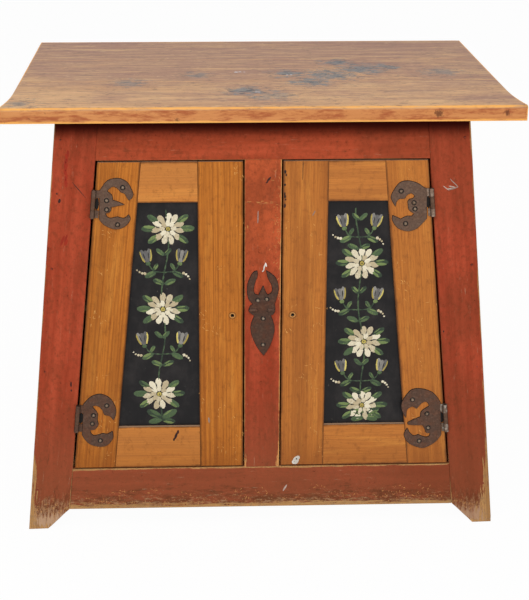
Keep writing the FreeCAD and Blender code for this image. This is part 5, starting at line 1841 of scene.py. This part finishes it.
    def branch(self, z: float, way: int) -> None:
        """Paints one side branch: a curling stem with a tulip, two leaves and a spray.

        Args:
            z: Height at which it leaves the stem.
            way: -1 to the left, 1 to the right.
        """
        root = self.middle(z)
        half = self.half(z + 0.03) - 4 * MM
        tip = root + way * half * 0.52
        bend = [(root, z), (root + way * half * 0.34, z + 3 * MM), (tip, z + 19 * MM)]
        self.line(Paint.SHADE, bend, 2.6 * MM)
        self.tulip(tip, z + 18 * MM, way * 0.2, self.tulip_mm * MM)
        self.leaf(root + way * half * 0.26, z + 2 * MM, way * 2.05, 25 * MM)
        self.leaf(root + way * half * 0.36, z + 4 * MM, -0.55 * way, 17 * MM)
        self.spray(root + way * half * 0.55, z - 1 * MM, way * 1.75)

    def build(self) -> None:
        """Paints the whole panel."""
        low, high = (height * MM for height in self.stem_mm)
        steps = 16
        stem = [low + (high - low) * i / steps for i in range(steps + 1)]
        self.line(Paint.SHADE, [(self.middle(z), z) for z in stem], 3.2 * MM)
        for way in (-1, 1):
            self.leaf(self.middle(low), low + 4 * MM, way * 1.05, 34 * MM)
            self.leaf(self.middle(low), low, way * 1.75, 27 * MM)
        for height in self.tulips_mm:
            for way in (-1, 1):
                self.branch(height * MM, way)
                self.leaf(self.middle(height * MM), (height - 24) * MM, way * 1.15, 24 * MM)
                self.leaf(self.middle(height * MM), (height + 34) * MM, way * 0.8, 20 * MM)
        for height in self.rosettes_mm:
            z = height * MM
            x = self.middle(z)
            radius = min(self.rosette_mm * MM, self.half(z) * 0.56)
            for way in (-1, 1):
                for lean, size in ((0.95, 27), (1.55, 30), (2.2, 27)):
                    reach = radius * 0.62
                    across, up = x + way * math.sin(lean) * reach, z + math.cos(lean) * reach
                    self.leaf(across, up, way * lean, size * MM)
            self.rosette(x, z, radius)
        self.dabs.build(f"{self.side}_panel_painting", f"{self.side}_door")
        LOG.info("%s panel: painting", self.side)


@dataclass
class Marks:
    """The knocks, scratches, stains and splashes of a long life, each a thin mark on the surface.

    Dents, scrapes and chips of the face frame are given in millimetres by their place across, height,
    length and width, and by their lean in radians. The counts are those of the level scratch, the rubbing
    beside it, the scribbles and their strokes, the run of red, and the groups on a door's stiles.
    """

    seed: int = 12
    scratch_count: int = 16
    rub_count: int = 75
    scribble_count: int = 20
    scribble_strokes: int = 7
    run_count: int = 12
    group_count: int = 26
    group_strokes: int = 5
    dents: tuple[tuple[float, ...], ...] = (
        (-380, 691, 9, 5, 0.3), (-384, 705, 4, 3, 0.0), (-372.5, 318, 12, 3.4, 0.05),
        (-372.6, 305, 5, 3, 0.0), (-343, 712, 41, 1.7, -0.66), (10.6, 730, 12, 4, 0.7),
        (7, 724, 6, 3, 0.9), (352, 420, 4, 3, 0),
    )
    scrapes: tuple[tuple[float, ...], ...] = (
        (-9.6, 656, 26, 2.4, 0.03), (343, 710, 14, 2.0, 2.24), (357, 709, 20, 3.0, 1.25),
        (358, 720, 23, 1.8, 2.36), (355, 712.5, 15, 2.2, 1.78), (351, 709, 12, 2.2, 1.4),
        (47, 85, 17, 3.5, 0.5), (345, 247, 8, 6, 0),
    )
    chips: tuple[tuple[float, ...], ...] = (
        (3.2, 557, 14, 3, 0.3), (6, 561, 9, 2.4, -0.3), (1, 549, 7, 2.4, 0.7),
    )

    def strew(self, dabs: Dabs, paint: Paint, marks: Sequence[Sequence[float]]) -> None:
        """Lays marks given in millimetres: place across, height, length, width and lean."""
        for x, z, length, width, lean in marks:
            dabs.dab(paint, x * MM, z * MM, length * MM, width * MM, lean)

    def case(self) -> None:
        """Lays the marks on the face frame."""
        case = Dabs(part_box("centre_stile")[0].y, 0.16, self.seed)
        self.strew(case, Paint.GRIME, self.dents)
        self.strew(case, Paint.CHALK, self.scrapes)
        self.strew(case, Paint.SPILL, self.chips)
        picks = random.Random(self.seed)
        straw = []
        # A level scratch across the centre stile, and fine rubbing that thickens towards its right arris.
        for _ in range(self.scratch_count):
            level = 684 + picks.gauss(0, 1.6)
            straw.append((picks.uniform(-30, 26), level, picks.uniform(5, 12), picks.uniform(0.7, 1.1), 1.57))
        for _ in range(self.rub_count):
            across = 32 - min(58, picks.expovariate(1 / 7))
            lean = picks.choice((0.0, 0.1, 1.57, 0.7, -0.6)) + picks.uniform(-0.15, 0.15)
            level = picks.uniform(490, 750)
            straw.append((across, level, picks.uniform(2.5, 8), picks.uniform(0.6, 1.0), lean))
        # Scribbles where shoes and brooms have hit the bottom rail.
        for _ in range(self.scribble_count):
            middle, level = picks.uniform(-385, 385), picks.uniform(58, 88)
            for _ in range(self.scribble_strokes):
                place = (middle + picks.gauss(0, 9), level + picks.gauss(0, 4))
                length, width = picks.uniform(2.5, 7), picks.uniform(0.8, 1.5)
                straw.append((*place, length, width, picks.uniform(-1.6, 1.6)))
        self.strew(case, Paint.STRAW, straw)
        # A run of less faded red down the left stile, and a few spots of it below.
        for index in range(self.run_count):
            fall = index / (self.run_count - 1)
            across, level = -362.5 - 8 * fall + picks.uniform(-2, 2), 782 - 76 * fall
            if index > 8:
                across, level = -372 + picks.uniform(-7, 7), 605 + picks.uniform(-16, 16)
            length, width = picks.uniform(11, 24), picks.uniform(2.5, 6)
            lean = SPLAY + picks.uniform(-0.3, 0.3)
            self.strew(case, Paint.FRESH, [(across, level, length, width, lean)])
        case.build("case_marks", "root", waver_mm=1.3)

    def scratch_stiles(self, dabs: Dabs, side: int, picks: random.Random) -> None:
        """Scratches a door's two stiles in loose groups.

        Args:
            dabs: The door's marks.
            side: -1 on the left, 1 on the right.
            picks: Source of the groups' places.
        """
        for group in range(self.group_count):
            height = picks.uniform(150, 750)
            inner, hinge = picks.uniform(40, 118), 312 - SPLAY * height + picks.uniform(0, 66)
            across = side * (inner if group % 2 else hinge)
            for _ in range(self.group_strokes):
                place = (across + picks.gauss(0, 6), height + picks.gauss(0, 8))
                length, width = picks.uniform(2.5, 8), picks.uniform(0.6, 1.1)
                lean = picks.choice((0.0, 0.2, 1.5, -0.7))
                self.strew(dabs, Paint.RUB, [(*place, length, width, lean)])

    def doors(self) -> None:
        """Lays the marks on the two doors."""
        picks = random.Random(self.seed + 1)
        left = Dabs(DOOR_FRONT, 0.18, self.seed + 1)
        nick = ((-170, 204, 17, 5, 0.35), (-166, 212, 9, 5, 0.2), (-174, 196, 7, 4, 0.2))
        self.strew(left, Paint.GRIME, nick)
        self.strew(left, Paint.CHALK, [(-104.5, 237, 12, 3.6, -0.1)])
        right = Dabs(DOOR_FRONT, 0.25, self.seed + 2)
        self.strew(right, Paint.SPILL, ((68, 146, 17, 12, 0.2), (71, 151, 12, 9, 0.8), (64, 142, 9, 7, -0.5)))
        self.strew(right, Paint.GRIME, [(73.8, 747, 40, 1.5, 0.02)])
        self.strew(right, Paint.CHALK, [(95.8, 663, 12, 2.2, 0.5)])
        for level in (744, 738, 719, 701, 696, 690, 678):
            mark = (picks.uniform(40, 43.5), level, picks.uniform(4, 10), picks.uniform(2.5, 5), 0.1)
            self.strew(right, Paint.GRIME, [mark])
        for door, side in ((left, -1), (right, 1)):
            self.scratch_stiles(door, side, picks)
        left.build("left_door_marks", "left_door", "honey_pine", 1.4)
        right.build("right_door_marks", "right_door", "honey_pine", 1.4)

    def build(self) -> None:
        """Lays all the marks."""
        self.case()
        self.doors()
        LOG.info("marks")


# ---------------------------------------------------------------- studio


@dataclass
class Studio:
    """A pale floor, a soft light above the front, a weak fill and the camera, whose angles are in radians.

    Each of the two lights has its place, the length of its side and its watts.
    """

    eye: tuple[float, float, float] = (-0.1201, -2.8200, 1.4599)
    yaw: float = 0.0351
    pitch: float = 0.3272
    roll: float = 0.0017
    lens: float = 84.96
    sensor: float = 36.0
    shift: tuple[float, float] = (0.03, -0.09)
    key: tuple[float, ...] = (-0.5, -2.6, 3.4, 2.6, 85.0)
    fill: tuple[float, ...] = (1.8, -3.2, 1.3, 2.2, 16.0)
    aim: tuple[float, float, float] = (0.0, 0.0, 0.45)
    ambient: float = 0.42
    floor_half: float = 12.0
    floor_glow: float = 0.97

    def camera(self) -> None:
        """Stands the camera up and makes it the scene's own."""
        data = bpy.data.cameras.new("camera")
        data.lens, data.sensor_width, data.sensor_fit = self.lens, self.sensor, "AUTO"
        data.shift_x, data.shift_y = self.shift
        ahead = Vector((
            math.sin(self.yaw) * math.cos(self.pitch), math.cos(self.yaw) * math.cos(self.pitch),
            -math.sin(self.pitch),
        ))
        right = Vector((math.cos(self.yaw), -math.sin(self.yaw), 0))
        above = right.cross(ahead)
        turned = right * math.cos(self.roll) + above * math.sin(self.roll)
        upward = above * math.cos(self.roll) - right * math.sin(self.roll)
        camera = show("camera", data)
        turn = Matrix((turned, upward, -ahead)).transposed().to_4x4()
        camera.matrix_world = Matrix.Translation(self.eye) @ turn
        bpy.context.scene.camera = camera

    def lamp(self, name: str, values: Sequence[float]) -> None:
        """Hangs a square soft light that looks at the cupboard's middle.

        Args:
            name: The light's name.
            values: Its place, the length of its side and its watts.
        """
        data = bpy.data.lights.new(name, "AREA")
        *place, data.size, data.energy = values
        light = show(name, data)
        light.location = place
        aim = Vector(self.aim) - Vector(place)
        light.rotation_euler = aim.to_track_quat("-Z", "Y").to_euler()

    def seen(self, tree: Tree) -> Any:
        """Finds the rays that show the background: straight, mirrored or through glass.

        Args:
            tree: The tree of the world or the floor.

        Returns:
            The socket that is 1 for them.
        """
        path = add(tree, "ShaderNodeLightPath").node
        both = [path.outputs[n] for n in ("Is Camera Ray", "Is Glossy Ray")]
        rays = add(tree, MATH, dict(enumerate(both)), operation="MAXIMUM")
        through = path.outputs["Is Transmission Ray"]
        return add(tree, MATH, {0: rays, 1: through}, operation="MAXIMUM")

    def world(self) -> None:
        """Lights the room evenly and shows it as plain white."""
        world = bpy.data.worlds.new("studio")
        world.use_nodes = True
        tree = world.node_tree
        tree.nodes.clear()
        inputs = {0: self.seen(tree), 1: self.ambient, 2: 1.0}
        strength = add(tree, "ShaderNodeMix", inputs, data_type="FLOAT")
        light = add(tree, "ShaderNodeBackground", {"Color": (1, 1, 1, 1), "Strength": strength})
        add(tree, "ShaderNodeOutputWorld", {"Surface": light})
        bpy.context.scene.world = world

    def floor(self) -> None:
        """Lays the floor, which stays white and keeps a faint shadow."""
        bm = bmesh.new()
        bmesh.ops.create_grid(bm, x_segments=1, y_segments=1, size=self.floor_half)
        material = bpy.data.materials.new("white seamless paper")
        material.use_nodes = True
        tree = material.node_tree
        tree.nodes.clear()
        paper = add(tree, "ShaderNodeBsdfDiffuse", {"Color": linear("#f4f3f1")})
        glow = add(tree, "ShaderNodeEmission", {"Color": (1, 1, 1, 1), "Strength": 1.0})
        share = add(tree, MATH, {0: self.seen(tree), 1: self.floor_glow}, operation="MULTIPLY")
        surface = add(tree, "ShaderNodeMixShader", {0: share, 1: paper, 2: glow})
        add(tree, "ShaderNodeOutputMaterial", {"Surface": surface})
        floor = show("floor_paper", finish_mesh(bm, "floor_paper", material))

    def build(self) -> None:
        """Sets up camera, lights, world and floor."""
        self.camera()
        self.lamp("key_light", self.key)
        self.lamp("fill_light", self.fill)
        self.world()
        self.floor()
        bpy.context.scene.view_settings.view_transform = "Standard"
        LOG.info("studio")


def main() -> None:
    """Builds the cupboard piece by piece."""
    logging.basicConfig(level=logging.INFO)
    Studio().build()
    Case().build()
    Tongues().build()
    Door("left", HONEY, 0.38, 0.36).build()
    Door("right", SMOOTH, 0.22, 0.18).build()
    Panel("left", (632, 470, 292), (545, 376)).build()
    Panel("right", (560, 398, 262), (612, 464, 314), petal_turn=1.1).build()
    Marks().build()
    Ironwork().build()
    bpy.context.view_layer.update()


if __name__ == "__main__":
    main()
